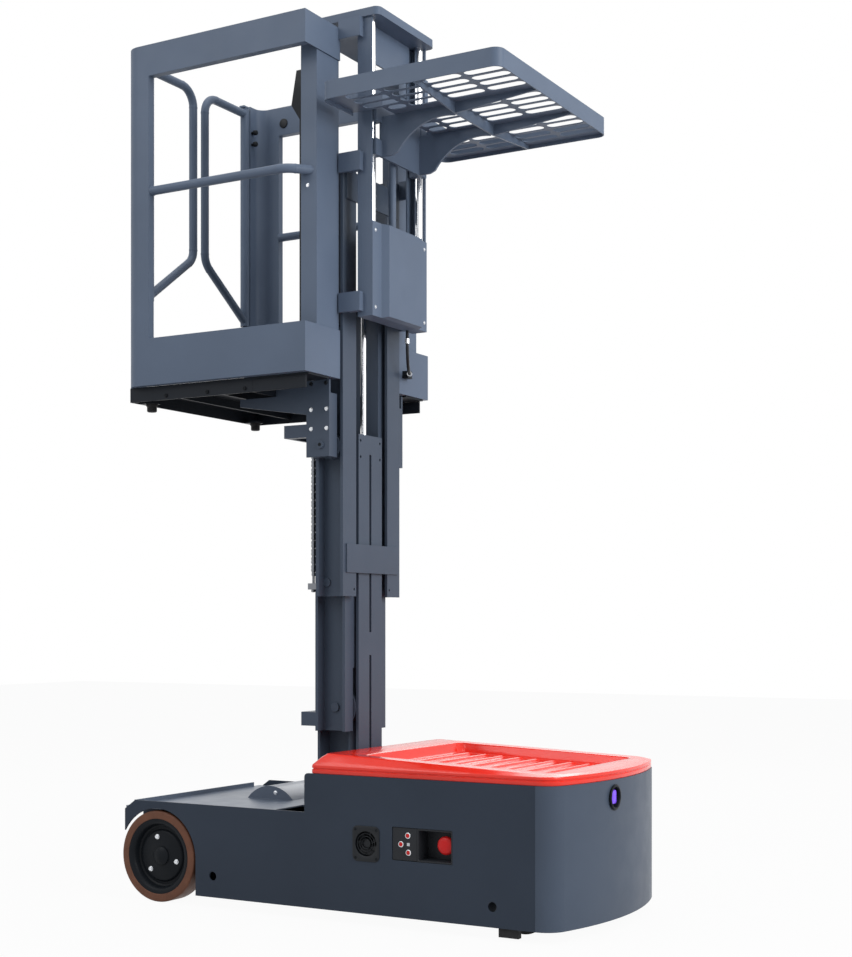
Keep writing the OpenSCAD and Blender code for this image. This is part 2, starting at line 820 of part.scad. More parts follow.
module control_housing() {
  color(paint_light) {
    block([post_x1, -post_y, housing_z0], [housing_x, post_y, housing_z1]);
    hull() {
      block([housing_x - 1, -cover_half - 14, housing_z0], [housing_x, cover_half + 14, housing_z1]);
      block([housing_x, -cover_half, housing_z0 + 4], [housing_x + cover_out, cover_half, housing_z1 - 4]);
    }
    block([post_x0, -post_y, housing_z0], [post_x1, post_y, post_low]);
  }
  color(black) difference() {
    translate([tray_rod_x - 8, 0, post_low]) cylinder(d = tray_barrel_d, h = housing_z1 - post_low, $fn = 48);
    translate([tray_rod_x - 8, 0, post_low + 8]) cylinder(d = tray_rod_d + 2 * rod_gap, h = 400, $fn = 48);
  }
}

cable_d = 10;
cable_r = 85;
cable_from = [-16, 110, housing_z0];
cable_turn = 116;
gland = [[-cab_front, 200, 1697], [-cab_front + 22, 226, 1721]];

// Cable loop from the control housing to a gland on the far apron
module tray_cable() {
  color(black) {
    translate(cable_from) rotate([0, 0, cable_turn]) rotate([90, 0, 0]) rotate([0, 0, -90])
      bent_tube([[40, 90, cable_r], [30, 0, 0]], cable_d);
    block(gland[0], gland[1]);
  }
}

// Operator console on its pedestal, in front of the mast
console_x0 = -352;
console_x1 = -290;
console_half = 62;
console_z = [2520, 2680];

module operator_console() {
  color(black) {
    block([console_x1 - 30, -console_half, cab_low], [console_x1, console_half, console_z[1]]);
    along_y(-console_half, 2 * console_half)
      polygon([[console_x1 - 30, console_z[0]], [console_x0, console_z[0] + 50], [console_x0 + 20, console_z[1]],
               [console_x1 - 30, console_z[1]]]);
  }
}

// Gates
gate_x = -half_len + 18;
gate_hinge_y = gate_half - 22;
pin_d = 12;
pin_h = 12;
lug_t = 7;
lug_gap = 5;
gate_top = cab_top - 16;
gate_free_y = 32;
gate_bend_z = 2155;
gate_post = 32;
gate_r = 60;
gate_run = gate_hinge_y - gate_free_y;
gate_slope = 54;
gate_drop = gate_top - gate_post / 2 - gate_r - gate_bend_z;
gate_last = (gate_run - gate_r * (1 - cos(gate_slope))) / sin(gate_slope);
gate_end_z = gate_bend_z - gate_r * sin(gate_slope) - gate_last * cos(gate_slope);
gate_low = gate_end_z - tube_d / 2 - 1;

module gate() {
  translate([gate_x, -gate_hinge_y, gate_top - gate_post / 2]) rotate([90, 0, 90])
    bent_tube([[gate_run - gate_r, -90, gate_r], [gate_drop, -gate_slope, gate_r], [gate_last, 0, 0]], tube_d);
  translate([gate_x, -gate_hinge_y, gate_low]) cylinder(d = gate_post, h = gate_top - gate_low, $fn = 48);
  translate([gate_x, -gate_hinge_y, gate_low - pin_h]) cylinder(d = pin_d, h = gate_top - gate_low + 2 * pin_h, $fn = 32);
}

module gate_near() {
  color(paint) gate();
}

module gate_far() {
  color(paint) mirror([0, 1, 0]) gate();
}

// Load tray: a slotted sheet inside a standing rim, with tapered ribs below
tray_notch_x = 76;
tray_notch_half = 196;
tray_corner = 30;
tray_back_x = -tray_back;
sheet_low = tray_top - tray_rim + tray_lip;
slot_gap = 12;
slot_front = 18;
slot_step = slot_len + slot_gap;
slot_pitch = 48.5;
slot_rows = 4;
slot_cols = 4;
bay_y = 250;
tray_rib_y = 125;
tray_rib_t = 6;
rib_deep = 33;
rib_end = 8;
tray_rib_x = tray_front - slot_front - 2 * slot_step + slot_gap / 2;

module tray_outline(inset) {
  r = tray_corner - inset;
  w = tray_front - tray_back_x - 2 * inset;
  difference() {
    translate([(tray_front + tray_back_x) / 2, 0]) rounded_box(w, 2 * (tray_half - inset), r);
    tray_notch(inset);
  }
}

// The bay that clears the front posts, grown by a margin
module tray_notch(margin) {
  translate([tray_back_x - 1, -tray_notch_half - margin])
    square([tray_notch_x + margin - tray_back_x + 1, 2 * (tray_notch_half + margin)]);
}

// A slot from x0 to x1, cut short where it would run into the bay
module slot(x0, x1, y) {
  from = abs(y) < tray_notch_half + slot_h / 2 + tray_t ? max(x0, tray_notch_x + 14) : x0;
  translate([from + slot_h / 2, y - slot_h / 2]) square([x1 - from - slot_h, slot_h]);
  for (x = [from + slot_h / 2, x1 - slot_h / 2]) translate([x, y]) circle(d = slot_h, $fn = 24);
}

module tray_slots() {
  for (bay = [-1, 0, 1], row = [0 : slot_rows - 1], col = [0 : slot_cols - 1]) {
    x1 = tray_front - slot_front - col * slot_step;
    slot(x1 - slot_len, x1, bay * bay_y + (row - (slot_rows - 1) / 2) * slot_pitch);
  }
}

module load_tray() {
  inner = tray_half - tray_t;
  color(paint_light) {
    translate([0, 0, sheet_low]) linear_extrude(tray_t) difference() {
      tray_outline(0);
      tray_slots();
    }
    translate([0, 0, sheet_low]) linear_extrude(tray_top - sheet_low) difference() {
      tray_outline(0);
      tray_outline(tray_t);
    }
    translate([0, 0, tray_top - tray_rim]) linear_extrude(tray_lip) difference() {
      tray_outline(0);
      tray_outline(tray_t);
      tray_notch(tray_t + 2);
    }
    translate([tray_rib_x - tray_rib_t / 2, 0, sheet_low]) rotate([90, 0, 90]) linear_extrude(tray_rib_t)
      polygon([[-inner, 0], [-inner, -tray_lip], [-tray_rib_y, -rib_deep], [tray_rib_y, -rib_deep],
               [inner, -tray_lip], [inner, 0]]);
    both_sides() along_y(tray_rib_y - tray_rib_t / 2, tray_rib_t) polygon([
      [tray_rib_x + tray_rib_t / 2, sheet_low], [tray_rib_x + tray_rib_t / 2, sheet_low - rib_deep],
      [tray_front - tray_t, sheet_low - rib_end], [tray_front - tray_t, sheet_low]
    ]);
  }
}

// Tray carrier: guide blocks, back plate, two curved arms and the lift rod
carrier_z0 = 2332;
guide_block_h = 50;
guide_block_top = tray_top - 62;
rod_head_z = carrier_z0 + 68;
tray_rod_foot = 1955;
tray_arm_y = 112;
tray_arm_t = 8;
tray_arm_x = tray_rib_x - tray_rib_t / 2;

module carrier_arm_outline() {
  r = 190;
  difference() {
    polygon([[guide_x + 14, carrier_z0], [guide_x + 14, sheet_low], [tray_arm_x, sheet_low],
             [tray_arm_x, sheet_low - rib_deep], [guide_x + 60, carrier_z0]]);
    translate([guide_x + 48 + r, sheet_low - rib_deep + 2 - r]) circle(r, $fn = 96);
  }
}

module tray_carrier() {
  color(paint) {
    both_sides() {
      along_y(tray_arm_y, tray_arm_t) carrier_arm_outline();
      for (z = [carrier_z0, guide_block_top]) difference() {
        block([guide_x - 20, tray_arm_y + tray_arm_t, z], [guide_x + 24, guide_y + 10, z + guide_block_h]);
        translate([guide_x, guide_y, z - 1]) cylinder(d = guide_d + 1, h = guide_block_h + 2, $fn = 48);
      }
    }
    block([guide_x + 14, -tray_arm_y - tray_arm_t, carrier_z0], [guide_x + 22, tray_arm_y + tray_arm_t, tray_top - 12]);
    block([tray_rod_x - 24, -30, rod_head_z], [guide_x + 15, 30, rod_head_z + 30]);
  }
  color(chrome) translate([tray_rod_x - 8, 0, tray_rod_foot]) cylinder(d = tray_rod_d, h = rod_head_z - tray_rod_foot, $fn = 48);
}

// Wheels

module drive_tyre() {
  translate([axle_x, 0, wheel_r]) difference() {
    bar_y(wheel_d, wheel_in, wheel_in + wheel_w);
    bar_y(rim_d, wheel_in - 1, wheel_in + wheel_w + 1);
  }
}

module drive_hub() {
  translate([axle_x, 0, wheel_r]) {
    difference() {
      bar_y(rim_d, wheel_in, wheel_in + wheel_w);
      bar_y(rim_d - 24, wheel_in + wheel_w - 26, wheel_in + wheel_w + 1);
      bar_y(shaft_d + 0.1, wheel_in - 1, wheel_in + 13);
    }
    bar_y(128, wheel_in + wheel_w - 27, wheel_in + wheel_w - 12);
    bar_y(74, wheel_in + wheel_w - 12, wheel_in + wheel_w - 4);
  }
}

module drive_tyre_near() {
  color(tan) mirror([0, 1, 0]) drive_tyre();
}

module drive_hub_near() {
  color(black) mirror([0, 1, 0]) drive_hub();
}

module drive_tyre_far() {
  color(tan) drive_tyre();
}

module drive_hub_far() {
  color(black) drive_hub();
}

castor_axle_x = castor_x - castor_trail;
fork_gap = castor_w / 2 + 5;
fork_t = 6;
fork_top = bridge_z - 1;

module castor_fork() {
  difference() {
    union() {
      translate([castor_x, castor_y, fork_top - 14]) cylinder(d = 96, h = 14, $fn = 64);
      translate([castor_x, castor_y, fork_top]) cylinder(d = stem_d, h = 18, $fn = 32);
      for (s = [-1, 1]) along_y(castor_y + s * (fork_gap + fork_t / 2) - fork_t / 2, fork_t) polygon([
        [castor_x - 42, fork_top - 10], [castor_x + 40, fork_top - 10], [castor_axle_x + 20, castor_d / 2 - 14],
        [castor_axle_x - 20, castor_d / 2 - 14]
      ]);
    }
  }
  translate([castor_axle_x, 0, castor_d / 2]) bar_y(pivot_d, castor_y - fork_gap - fork_t - 4, castor_y + fork_gap + fork_t + 4);
}

module castor_wheel() {
  translate([castor_axle_x, 0, castor_d / 2]) difference() {
    bar_y(castor_d, castor_y - castor_w / 2, castor_y + castor_w / 2);
    bar_y(pivot_d + 0.1, castor_y - castor_w, castor_y + castor_w);
  }
}

module castor_fork_near() {
  color(zinc) mirror([0, 1, 0]) castor_fork();
}

module castor_wheel_near() {
  color(tan) mirror([0, 1, 0]) castor_wheel();
}

module castor_fork_far() {
  color(zinc) castor_fork();
}

module castor_wheel_far() {
  color(tan) castor_wheel();
}

// Small pieces on the near plate and the nose

module fan_grille() {
  color(black) {
    translate([fan_x, 0, fan_z]) along_y(-half_w - 3, 3) difference() {
      rounded_box(fan_w, fan_h, 16);
      circle(d = 64, $fn = 64);
    }
    translate([fan_x, 0, fan_z]) along_y(-half_w - 3, 29) difference() {
      rounded_box(fan_w - 17, fan_h - 17, cut_r);
      circle(d = 64, $fn = 64);
    }
    translate([fan_x, 0, fan_z]) bar_y(34, -half_w - 1, -half_w + 26);
    for (a = [0 : 30 : 150]) translate([fan_x, 0, fan_z]) rotate([0, a, 0])
      block([-33, -half_w, -2], [33, -half_w + 3, 2]);
  }
}

button_d = 15;
buttons = [[269, 273], [246, 247], [271, 224]];
panel_split = 299;

module button_panel() {
  color(paint_light) block([recess_x0 + 1, -half_w + 2, recess_z0 + 1], [panel_split, -half_w + plate_t, recess_z1 - 1]);
  color(red) for (b = buttons) translate([b[0], 0, b[1]]) bar_y(button_d, -half_w - 2, -half_w + 2);
}

knob_x = 385;
knob_z = 250;

module emergency_stop() {
  color(black) difference() {
    block([panel_split + 1, -half_w + 1, recess_z0 + 1], [recess_x1 - 1, -half_w + recess_depth, recess_z1 - 1]);
    block([panel_split + 5, -half_w, recess_z0 + 5], [recess_x1 - 5, -half_w + recess_depth - 4, recess_z1 - 5]);
  }
  color(red) translate([knob_x, 0, knob_z]) {
    bar_y(54, -half_w + 12, -half_w + 28);
    bar_y(26, -half_w + 28, -half_w + recess_depth - 4);
  }
}

module spot_lamp() {
  color(black) translate([lamp_x, lamp_y, lamp_z]) rotate([0, 90, atan(lamp_y / nose_big_r)]) {
    translate([0, 0, lamp_seat]) cylinder(d = lamp_d, h = 5, $fn = 64);
    translate([0, 0, -40]) cylinder(d = lamp_d - 9, h = 40 + lamp_seat, $fn = 64);
  }
}

foot_x = [half_len - 236, half_len - 174];
foot_y = [half_w - 26, half_w - 8];

module tipping_feet() {
  color(black) both_sides() block([foot_x[0], foot_y[0], 8], [foot_x[1], foot_y[1], floor_z]);
}

side_plate_near();
side_plate_far();
nose_shell();
underframe();
deck();
battery_block();
red_cover();
drive_units();
castor_bridges();
mast_stage1();
lift_cylinders();
fan_grille();
button_panel();
emergency_stop();
spot_lamp();
tipping_feet();
drive_tyre_near();
drive_hub_near();
drive_tyre_far();
drive_hub_far();
castor_fork_near();
castor_wheel_near();
castor_fork_far();
castor_wheel_far();
mast_stage2();
lift_rods();
mast_stage3();
lift_chains();
carriage_frame();
platform_floor();
cab_panel_near();
cab_panel_far();
cab_columns();
handrail_near();
handrail_far();
front_posts();
crown();
control_housing();
tray_cable();
operator_console();
gate_near();
gate_far();
load_tray();
tray_carrier();
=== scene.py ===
"""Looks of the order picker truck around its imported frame.

Every length is in metres in the frame's own axes: +X towards the battery box, -Y is the side with the switches, +Z up.
"""

import json
import math

import bpy
import numpy as np
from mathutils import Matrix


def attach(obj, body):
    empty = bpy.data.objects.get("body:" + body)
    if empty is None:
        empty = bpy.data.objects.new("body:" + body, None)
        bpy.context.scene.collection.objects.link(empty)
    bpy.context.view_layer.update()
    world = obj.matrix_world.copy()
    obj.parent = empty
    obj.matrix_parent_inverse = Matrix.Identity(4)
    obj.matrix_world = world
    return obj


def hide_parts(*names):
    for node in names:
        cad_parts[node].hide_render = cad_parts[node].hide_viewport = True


bl_info = {
    "name": "Order picker truck looks",
    "version": (1, 0, 0),
    "blender": (4, 5, 0),
    "location": "3D View > Sidebar > Order picker",
    "description": "Dresses the packed order picker truck with its finishes, fasteners and moulded pieces",
    "category": "Object",
}

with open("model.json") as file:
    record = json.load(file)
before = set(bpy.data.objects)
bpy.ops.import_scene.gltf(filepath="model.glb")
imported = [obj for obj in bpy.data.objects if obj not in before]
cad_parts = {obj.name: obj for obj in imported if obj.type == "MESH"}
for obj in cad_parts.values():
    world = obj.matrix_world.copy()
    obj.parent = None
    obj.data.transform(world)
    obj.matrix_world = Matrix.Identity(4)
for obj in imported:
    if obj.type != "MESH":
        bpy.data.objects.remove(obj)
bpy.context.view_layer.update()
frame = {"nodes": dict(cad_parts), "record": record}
MM = 0.001
TAU = 2 * math.pi


# Sizes shared with the solids, in millimetres

HALF_W = 370
NOSE_X = 796
NOSE_BULGE = 45
NOSE_CORNER = 70
NOSE_HALF = HALF_W - NOSE_CORNER
NOSE_R = (NOSE_HALF**2 + NOSE_BULGE**2) / (2 * NOSE_BULGE)
NOSE_MID = NOSE_X - NOSE_R
NOSE_REACH = math.sqrt((NOSE_R - NOSE_CORNER) ** 2 - NOSE_HALF**2)
NOSE_END = NOSE_MID + NOSE_REACH
COVER_BACK = -71
COVER_LOW = 437
COVER_SKIRT = 462
COVER_SLOPE = 34 / (NOSE_X - COVER_BACK)
AXLE = (-655, 145)
WHEEL_W = 74
WHEEL_IN = HALF_W - 2 - WHEEL_W
CHAIN_X = -206
CHAIN_Y = 150


def cover_top(x):
    """Height of the cover's sloping top plane over x: it falls by a fixed share of the way to the nose."""
    return 498 - (x - COVER_BACK) * COVER_SLOPE


# Mesh helpers


def grid_faces(rows, cols, wrap_rows, wrap_cols):
    """Corner numbers of the quads of a rows by cols grid, joined round where a direction wraps."""
    r = np.arange(rows if wrap_rows else rows - 1)[:, None]
    c = np.arange(cols if wrap_cols else cols - 1)[None, :]
    r1, c1 = (r + 1) % rows, (c + 1) % cols
    quads = np.stack([r * cols + c, r * cols + c1, r1 * cols + c1, r1 * cols + c], axis=-1)
    return quads.reshape(-1, 4)


class Shell:
    """Gathers grids of points into one mesh."""

    def __init__(self):
        self.points, self.quads, self.count = [], [], 0

    def add(self, points, wrap_rows=False, wrap_cols=False, flip=False):
        rows, cols = points.shape[:2]
        quads = grid_faces(rows, cols, wrap_rows, wrap_cols) + self.count
        self.points.append(points.reshape(-1, 3))
        self.quads.append(quads[:, ::-1] if flip else quads)
        self.count += rows * cols
        return self

    def copies(self, points, offsets, **how):
        for shift in offsets:
            self.add(points + np.asarray(shift, float), **how)
        return self

    def build(self, name, body, material, slot=None, smooth=True, bevel=0.0):
        points = np.concatenate(self.points) * MM
        quads = np.concatenate(self.quads)
        mesh = bpy.data.meshes.new(name)
        mesh.from_pydata(points.tolist(), [], quads.tolist())
        mesh.polygons.foreach_set("use_smooth", np.full(len(mesh.polygons), smooth))
        mesh.materials.append(material)
        mesh.validate()
        piece = bpy.data.objects.new(name, mesh)
        bpy.context.scene.collection.objects.link(piece)
        weld(mesh)
        if bevel:
            soft = piece.modifiers.new("edges", "BEVEL")
            soft.width = bevel * MM
            soft.segments = 2
            soft.limit_method = "ANGLE"
        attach(piece, body)
        return piece


def weld(mesh):
    """Joins doubled points and turns every face outwards."""
    import bmesh

    bm = bmesh.new()
    bm.from_mesh(mesh)
    bmesh.ops.remove_doubles(bm, verts=bm.verts, dist=1e-6)
    bmesh.ops.dissolve_degenerate(bm, edges=bm.edges, dist=1e-7)
    bmesh.ops.recalc_face_normals(bm, faces=bm.faces)
    bm.to_mesh(mesh)
    bm.free()
    mesh.set_sharp_from_angle(angle=math.radians(38))


AXES = {
    "+X": ((0, 1, 0), (0, 0, 1), (1, 0, 0)),
    "-X": ((0, -1, 0), (0, 0, 1), (-1, 0, 0)),
    "+Y": ((-1, 0, 0), (0, 0, 1), (0, 1, 0)),
    "-Y": ((1, 0, 0), (0, 0, 1), (0, -1, 0)),
    "+Z": ((1, 0, 0), (0, 1, 0), (0, 0, 1)),
    "-Z": ((1, 0, 0), (0, -1, 0), (0, 0, -1)),
}


def lathe(profile, centre, axis="-Y", turns=48, phase=0.0):
    """A surface of revolution: each (radius, height) of the profile goes round the axis at turns even angles."""
    u, v, w = (np.array(a, float) for a in AXES[axis])
    profile = np.asarray(profile, float)
    angle = np.arange(turns) * TAU / turns + phase
    ring = np.cos(angle)[:, None] * u + np.sin(angle)[:, None] * v
    points = profile[:, 0][:, None, None] * ring[None] + profile[:, 1][:, None, None] * w
    return points + np.asarray(centre, float)


def box(low, high):
    """Six faces as a closed ring of four corners at both ends, with the ends pulled to a point inside each face."""
    low, high = np.asarray(low, float), np.asarray(high, float)
    mid = (low + high) / 2
    square = np.array([[low[0], low[1]], [high[0], low[1]], [high[0], high[1]], [low[0], high[1]]])
    rows = []
    for z, pinch in ((low[2], 1), (low[2], 0), (high[2], 0), (high[2], 1)):
        flat = square * (1 - pinch) + mid[:2] * pinch
        rows.append(np.column_stack([flat, np.full(4, z)]))
    return np.array(rows)


def rounded(width, height, radius, steps=8):
    """Outline of a rounded rectangle: four quarter circles set at its inner corners."""
    angle = np.linspace(0, math.pi / 2, steps)
    arc = np.column_stack([np.cos(angle), np.sin(angle)]) * radius
    turned = []
    for k, (sx, sy) in enumerate(((1, 1), (-1, 1), (-1, -1), (1, -1))):
        c, s = math.cos(k * math.pi / 2), math.sin(k * math.pi / 2)
        spin = arc @ np.array([[c, s], [-s, c]])
        turned.append(spin + [sx * (width / 2 - radius), sy * (height / 2 - radius)])
    return np.concatenate(turned)


def loft(outlines, centre, axis="-Y"):
    """Flat outlines stacked along an axis: each is (outline, height), and all have the same number of points."""
    u, v, w = (np.array(a, float) for a in AXES[axis])
    rows = [o[:, :1] * u + o[:, 1:] * v + h * w for o, h in outlines]
    return np.array(rows) + np.asarray(centre, float)


def tube(path, radius, sides=16, up=(0, 0, 1)):
    """A round tube: a circle carried along the path, square to its direction at each point."""
    path = np.asarray(path, float)
    along = np.gradient(path, axis=0)
    along /= np.linalg.norm(along, axis=1)[:, None]
    side = np.cross(along, np.asarray(up, float))
    side /= np.linalg.norm(side, axis=1)[:, None]
    top = np.cross(side, along)
    angle = np.arange(sides) * TAU / sides
    ring = np.cos(angle)[None, :, None] * side[:, None] + np.sin(angle)[None, :, None] * top[:, None]
    body = path[:, None] + ring * radius
    first = np.repeat(path[:1], sides, 0)[None]
    last = np.repeat(path[-1:], sides, 0)[None]
    return np.concatenate([first, body, last])


def curve_through(points, steps=12):
    """A smooth path through points: each stretch is a cubic whose slopes come from its neighbours."""
    p = np.asarray(points, float)
    before, after = np.vstack([2 * p[0] - p[1], p[:-1]]), np.vstack([p[1:], 2 * p[-1] - p[-2]])
    slope = (after - before) / 2
    t = np.linspace(0, 1, steps, endpoint=False)[:, None]
    h = [2 * t**3 - 3 * t**2 + 1, t**3 - 2 * t**2 + t, 3 * t**2 - 2 * t**3, t**3 - t**2]
    runs = [h[0] * p[i] + h[1] * slope[i] + h[2] * p[i + 1] + h[3] * slope[i + 1] for i in range(len(p) - 1)]
    return np.vstack(runs + [p[-1:]])


# Finishes


class Finish:
    """One procedural material: a shader with noise on its colour, roughness and surface."""

    def __init__(self, name):
        self.material = bpy.data.materials.new(name)
        self.material.use_nodes = True
        self.tree = self.material.node_tree
        self.shader = self.tree.nodes["Principled BSDF"]
        self.place = self.tree.nodes.new("ShaderNodeTexCoord").outputs["Object"]

    def node(self, kind, **values):
        made = self.tree.nodes.new(kind)
        for key, value in values.items():
            if key in made.inputs:
                made.inputs[key].default_value = value
            else:
                setattr(made, key.lower(), value)
        return made

    def link(self, a, b):
        self.tree.links.new(a, b)

    def set(self, **values):
        for key, value in values.items():
            self.shader.inputs[key.replace("_", " ")].default_value = value
        return self

    def noise(self, scale, detail=3.0, roughness=0.5, stretch=None):
        made = self.node("ShaderNodeTexNoise", Scale=scale, Detail=detail, Roughness=roughness)
        place = self.place
        if stretch:
            mapping = self.node("ShaderNodeMapping", Scale=stretch)
            self.link(place, mapping.inputs["Vector"])
            place = mapping.outputs["Vector"]
        self.link(place, made.inputs["Vector"])
        return made.outputs["Fac"]

    def spread(self, source, low, high):
        made = self.node("ShaderNodeMapRange")
        made.inputs["From Min"].default_value = 0.3
        made.inputs["From Max"].default_value = 0.7
        made.inputs["To Min"].default_value = low
        made.inputs["To Max"].default_value = high
        self.link(source, made.inputs["Value"])
        return made.outputs["Result"]

    def colours(self, dark, light, source):
        ramp = self.node("ShaderNodeValToRGB")
        ramp.color_ramp.elements[0].position = 0.3
        ramp.color_ramp.elements[1].position = 0.7
        ramp.color_ramp.elements[0].color = (*dark, 1)
        ramp.color_ramp.elements[1].color = (*light, 1)
        self.link(source, ramp.inputs["Fac"])
        self.link(ramp.outputs["Color"], self.shader.inputs["Base Color"])
        return self

    def roughness(self, low, high, source):
        self.link(self.spread(source, low, high), self.shader.inputs["Roughness"])
        return self

    def bump(self, source, depth, edge=0.0):
        made = self.node("ShaderNodeBump", Strength=1.0, Distance=depth)
        self.link(source, made.inputs["Height"])
        if edge:
            soft = self.node("ShaderNodeBevel", Radius=edge)
            soft.samples = 4
            self.link(soft.outputs["Normal"], made.inputs["Normal"])
        self.link(made.outputs["Normal"], self.shader.inputs["Normal"])
        return self


def shade(colour, factor):
    return tuple(min(1.0, c * factor) for c in colour[:3])


def enamel(name, colour, gloss, sheen=0.2, coat=0.0, edge=0.0016):
    """Stove enamel: even colour with faint clouding, a fine orange-peel surface and softly broken edges."""
    f = Finish(name)
    f.colours(shade(colour, 0.93), shade(colour, 1.07), f.noise(3.0))
    f.roughness(gloss - 0.03, gloss + 0.05, f.noise(14.0))
    f.bump(f.noise(900.0, 2.0), 0.00004, edge)
    return f.set(Specular_IOR_Level=sheen, Coat_Weight=coat, Coat_Roughness=0.08).material


def cast_rubber(name, colour, gloss):
    """Cast polyurethane or rubber: matt, slightly scuffed, with a fine grain."""
    f = Finish(name)
    f.colours(shade(colour, 0.8), shade(colour, 1.15), f.noise(22.0, 6.0, 0.6))
    f.roughness(gloss - 0.08, gloss + 0.08, f.noise(60.0))
    f.bump(f.noise(1400.0, 4.0), 0.00009, 0.0008)
    return f.set(Specular_IOR_Level=0.25).material


def moulded(name, colour, gloss):
    """Moulded plastic with a spark-eroded grain."""
    f = Finish(name)
    f.colours(shade(colour, 0.9), shade(colour, 1.1), f.noise(8.0))
    f.roughness(gloss - 0.04, gloss + 0.05, f.noise(30.0))
    f.bump(f.noise(2200.0, 2.0), 0.00007, 0.0006)
    return f.set(Specular_IOR_Level=0.25).material


def bare_metal(name, colour, gloss, stretch=None):
    """Bare or plated metal: turned or drawn streaks in its roughness."""
    f = Finish(name)
    f.colours(shade(colour, 0.88), shade(colour, 1.06), f.noise(40.0, 3.0, 0.5, stretch))
    f.roughness(gloss - 0.04, gloss + 0.08, f.noise(160.0, 4.0, 0.6, stretch))
    f.bump(f.noise(700.0, 3.0, 0.5, stretch), 0.00003)
    return f.set(Metallic=1.0).material


FINISHES = {}


class PickerFinishes(bpy.types.PropertyGroup):
    """Colours of the truck's finishes."""

    # The chassis, mast and floor pan use darker copies of this enamel, made in PICKER_OT_finishes: painted shade.
    enamel: bpy.props.FloatVectorProperty(
        name="Enamel", description="Grey-blue stove enamel on chassis, mast and cab", subtype="COLOR",
        size=3, min=0, max=1, default=(0.100, 0.132, 0.190))
    deck: bpy.props.FloatVectorProperty(
        name="Deck enamel", description="Enamel on the deck sheet and tray", subtype="COLOR",
        size=3, min=0, max=1, default=(0.100, 0.128, 0.178))
    cover: bpy.props.FloatVectorProperty(
        name="Cover red", description="Gloss red of the battery cover", subtype="COLOR",
        size=3, min=0, max=1, default=(0.80, 0.022, 0.008))
    tread: bpy.props.FloatVectorProperty(
        name="Tread", description="Brown polyurethane of the drive wheels", subtype="COLOR",
        size=3, min=0, max=1, default=(0.135, 0.054, 0.030))
    black: bpy.props.FloatVectorProperty(
        name="Black parts", description="Black plastic and blacked steel", subtype="COLOR",
        size=3, min=0, max=1, default=(0.008, 0.010, 0.013))
    lens: bpy.props.FloatVectorProperty(
        name="Lamp lens", description="Violet lens of the spot lamp", subtype="COLOR",
        size=3, min=0, max=1, default=(0.20, 0.07, 0.85))


class PickerSizes(bpy.types.PropertyGroup):
    """Sizes of the pieces that the looks add."""

    cover_edge: bpy.props.FloatProperty(
        name="Cover edge", description="Radius of the red cover's upper edge", subtype="DISTANCE",
        unit="LENGTH", min=0.002, max=0.012, default=0.006)
    rib_height: bpy.props.FloatProperty(
        name="Rib height", description="Height of the ribs in the cover's pocket", subtype="DISTANCE",
        unit="LENGTH", min=0.003, max=0.009, default=0.006)
    tread_shoulder: bpy.props.FloatProperty(
        name="Tread shoulder", description="Radius of the drive wheel's outer shoulder", subtype="DISTANCE",
        unit="LENGTH", min=0.002, max=0.010, default=0.006)
    chain_pitch: bpy.props.FloatProperty(
        name="Chain pitch", description="Distance between the lift chain's pins", subtype="DISTANCE",
        unit="LENGTH", min=0.010, max=0.020, default=0.0127)


# The red cover


def nose_loop(inset, back):
    """Plan of the box seen from above: straight sides, two corner arcs and one long arc at the nose, drawn inwards."""
    half = HALF_W - inset
    corner, big = NOSE_CORNER - inset, NOSE_R - inset
    turn = math.atan2(NOSE_HALF, NOSE_REACH)
    round_back = 14
    x0 = back + round_back
    side = np.linspace(x0, NOSE_END, 16, endpoint=False)
    a = np.linspace(-math.pi / 2, -turn, 10, endpoint=False)
    b = np.linspace(-turn, turn, 32, endpoint=False)
    c = np.linspace(turn, math.pi / 2, 10, endpoint=False)
    d = np.linspace(math.pi / 2, math.pi, 8, endpoint=False)
    e = np.linspace(half - round_back, -half + round_back, 24, endpoint=False)
    g = np.linspace(math.pi, 1.5 * math.pi, 8, endpoint=False)
    return np.concatenate([
        np.column_stack([side, np.full(16, -half)]),
        np.column_stack([NOSE_END + corner * np.cos(a), -NOSE_HALF + corner * np.sin(a)]),
        np.column_stack([NOSE_MID + big * np.cos(b), big * np.sin(b)]),
        np.column_stack([NOSE_END + corner * np.cos(c), NOSE_HALF + corner * np.sin(c)]),
        np.column_stack([np.linspace(NOSE_END, x0, 16, endpoint=False), np.full(16, half)]),
        np.column_stack([x0 + round_back * np.cos(d), half - round_back + round_back * np.sin(d)]),
        np.column_stack([np.full(24, back), e]),
        np.column_stack([x0 + round_back * np.cos(g), -half + round_back + round_back * np.sin(g)]),
    ])


POCKET = (75, NOSE_X - 106, HALF_W - 78)
POCKET_ROUND = 24
POCKET_DEEP = 31


def pocket_loop(inset):
    """Plan of the pocket with the same number of points in the same order as the cover's outline."""
    x0, x1, half = POCKET[0] + inset, POCKET[1] - inset, POCKET[2] - inset
    r = POCKET_ROUND
    quarter = [np.linspace(k * math.pi / 2, (k + 1) * math.pi / 2, n, endpoint=False)
               for k, n in ((3, 10), (0, 10), (1, 8), (2, 8))]
    return np.concatenate([
        np.column_stack([np.linspace(x0 + r, x1 - r, 16, endpoint=False), np.full(16, -half)]),
        np.column_stack([x1 - r + r * np.cos(quarter[0]), -half + r + r * np.sin(quarter[0])]),
        np.column_stack([np.full(32, x1), np.linspace(-half + r, half - r, 32, endpoint=False)]),
        np.column_stack([x1 - r + r * np.cos(quarter[1]), half - r + r * np.sin(quarter[1])]),
        np.column_stack([np.linspace(x1 - r, x0 + r, 16, endpoint=False), np.full(16, half)]),
        np.column_stack([x0 + r + r * np.cos(quarter[2]), half - r + r * np.sin(quarter[2])]),
        np.column_stack([np.full(24, x0), np.linspace(half - r, -half + r, 24, endpoint=False)]),
        np.column_stack([x0 + r + r * np.cos(quarter[3]), -half + r + r * np.sin(quarter[3])]),
    ])


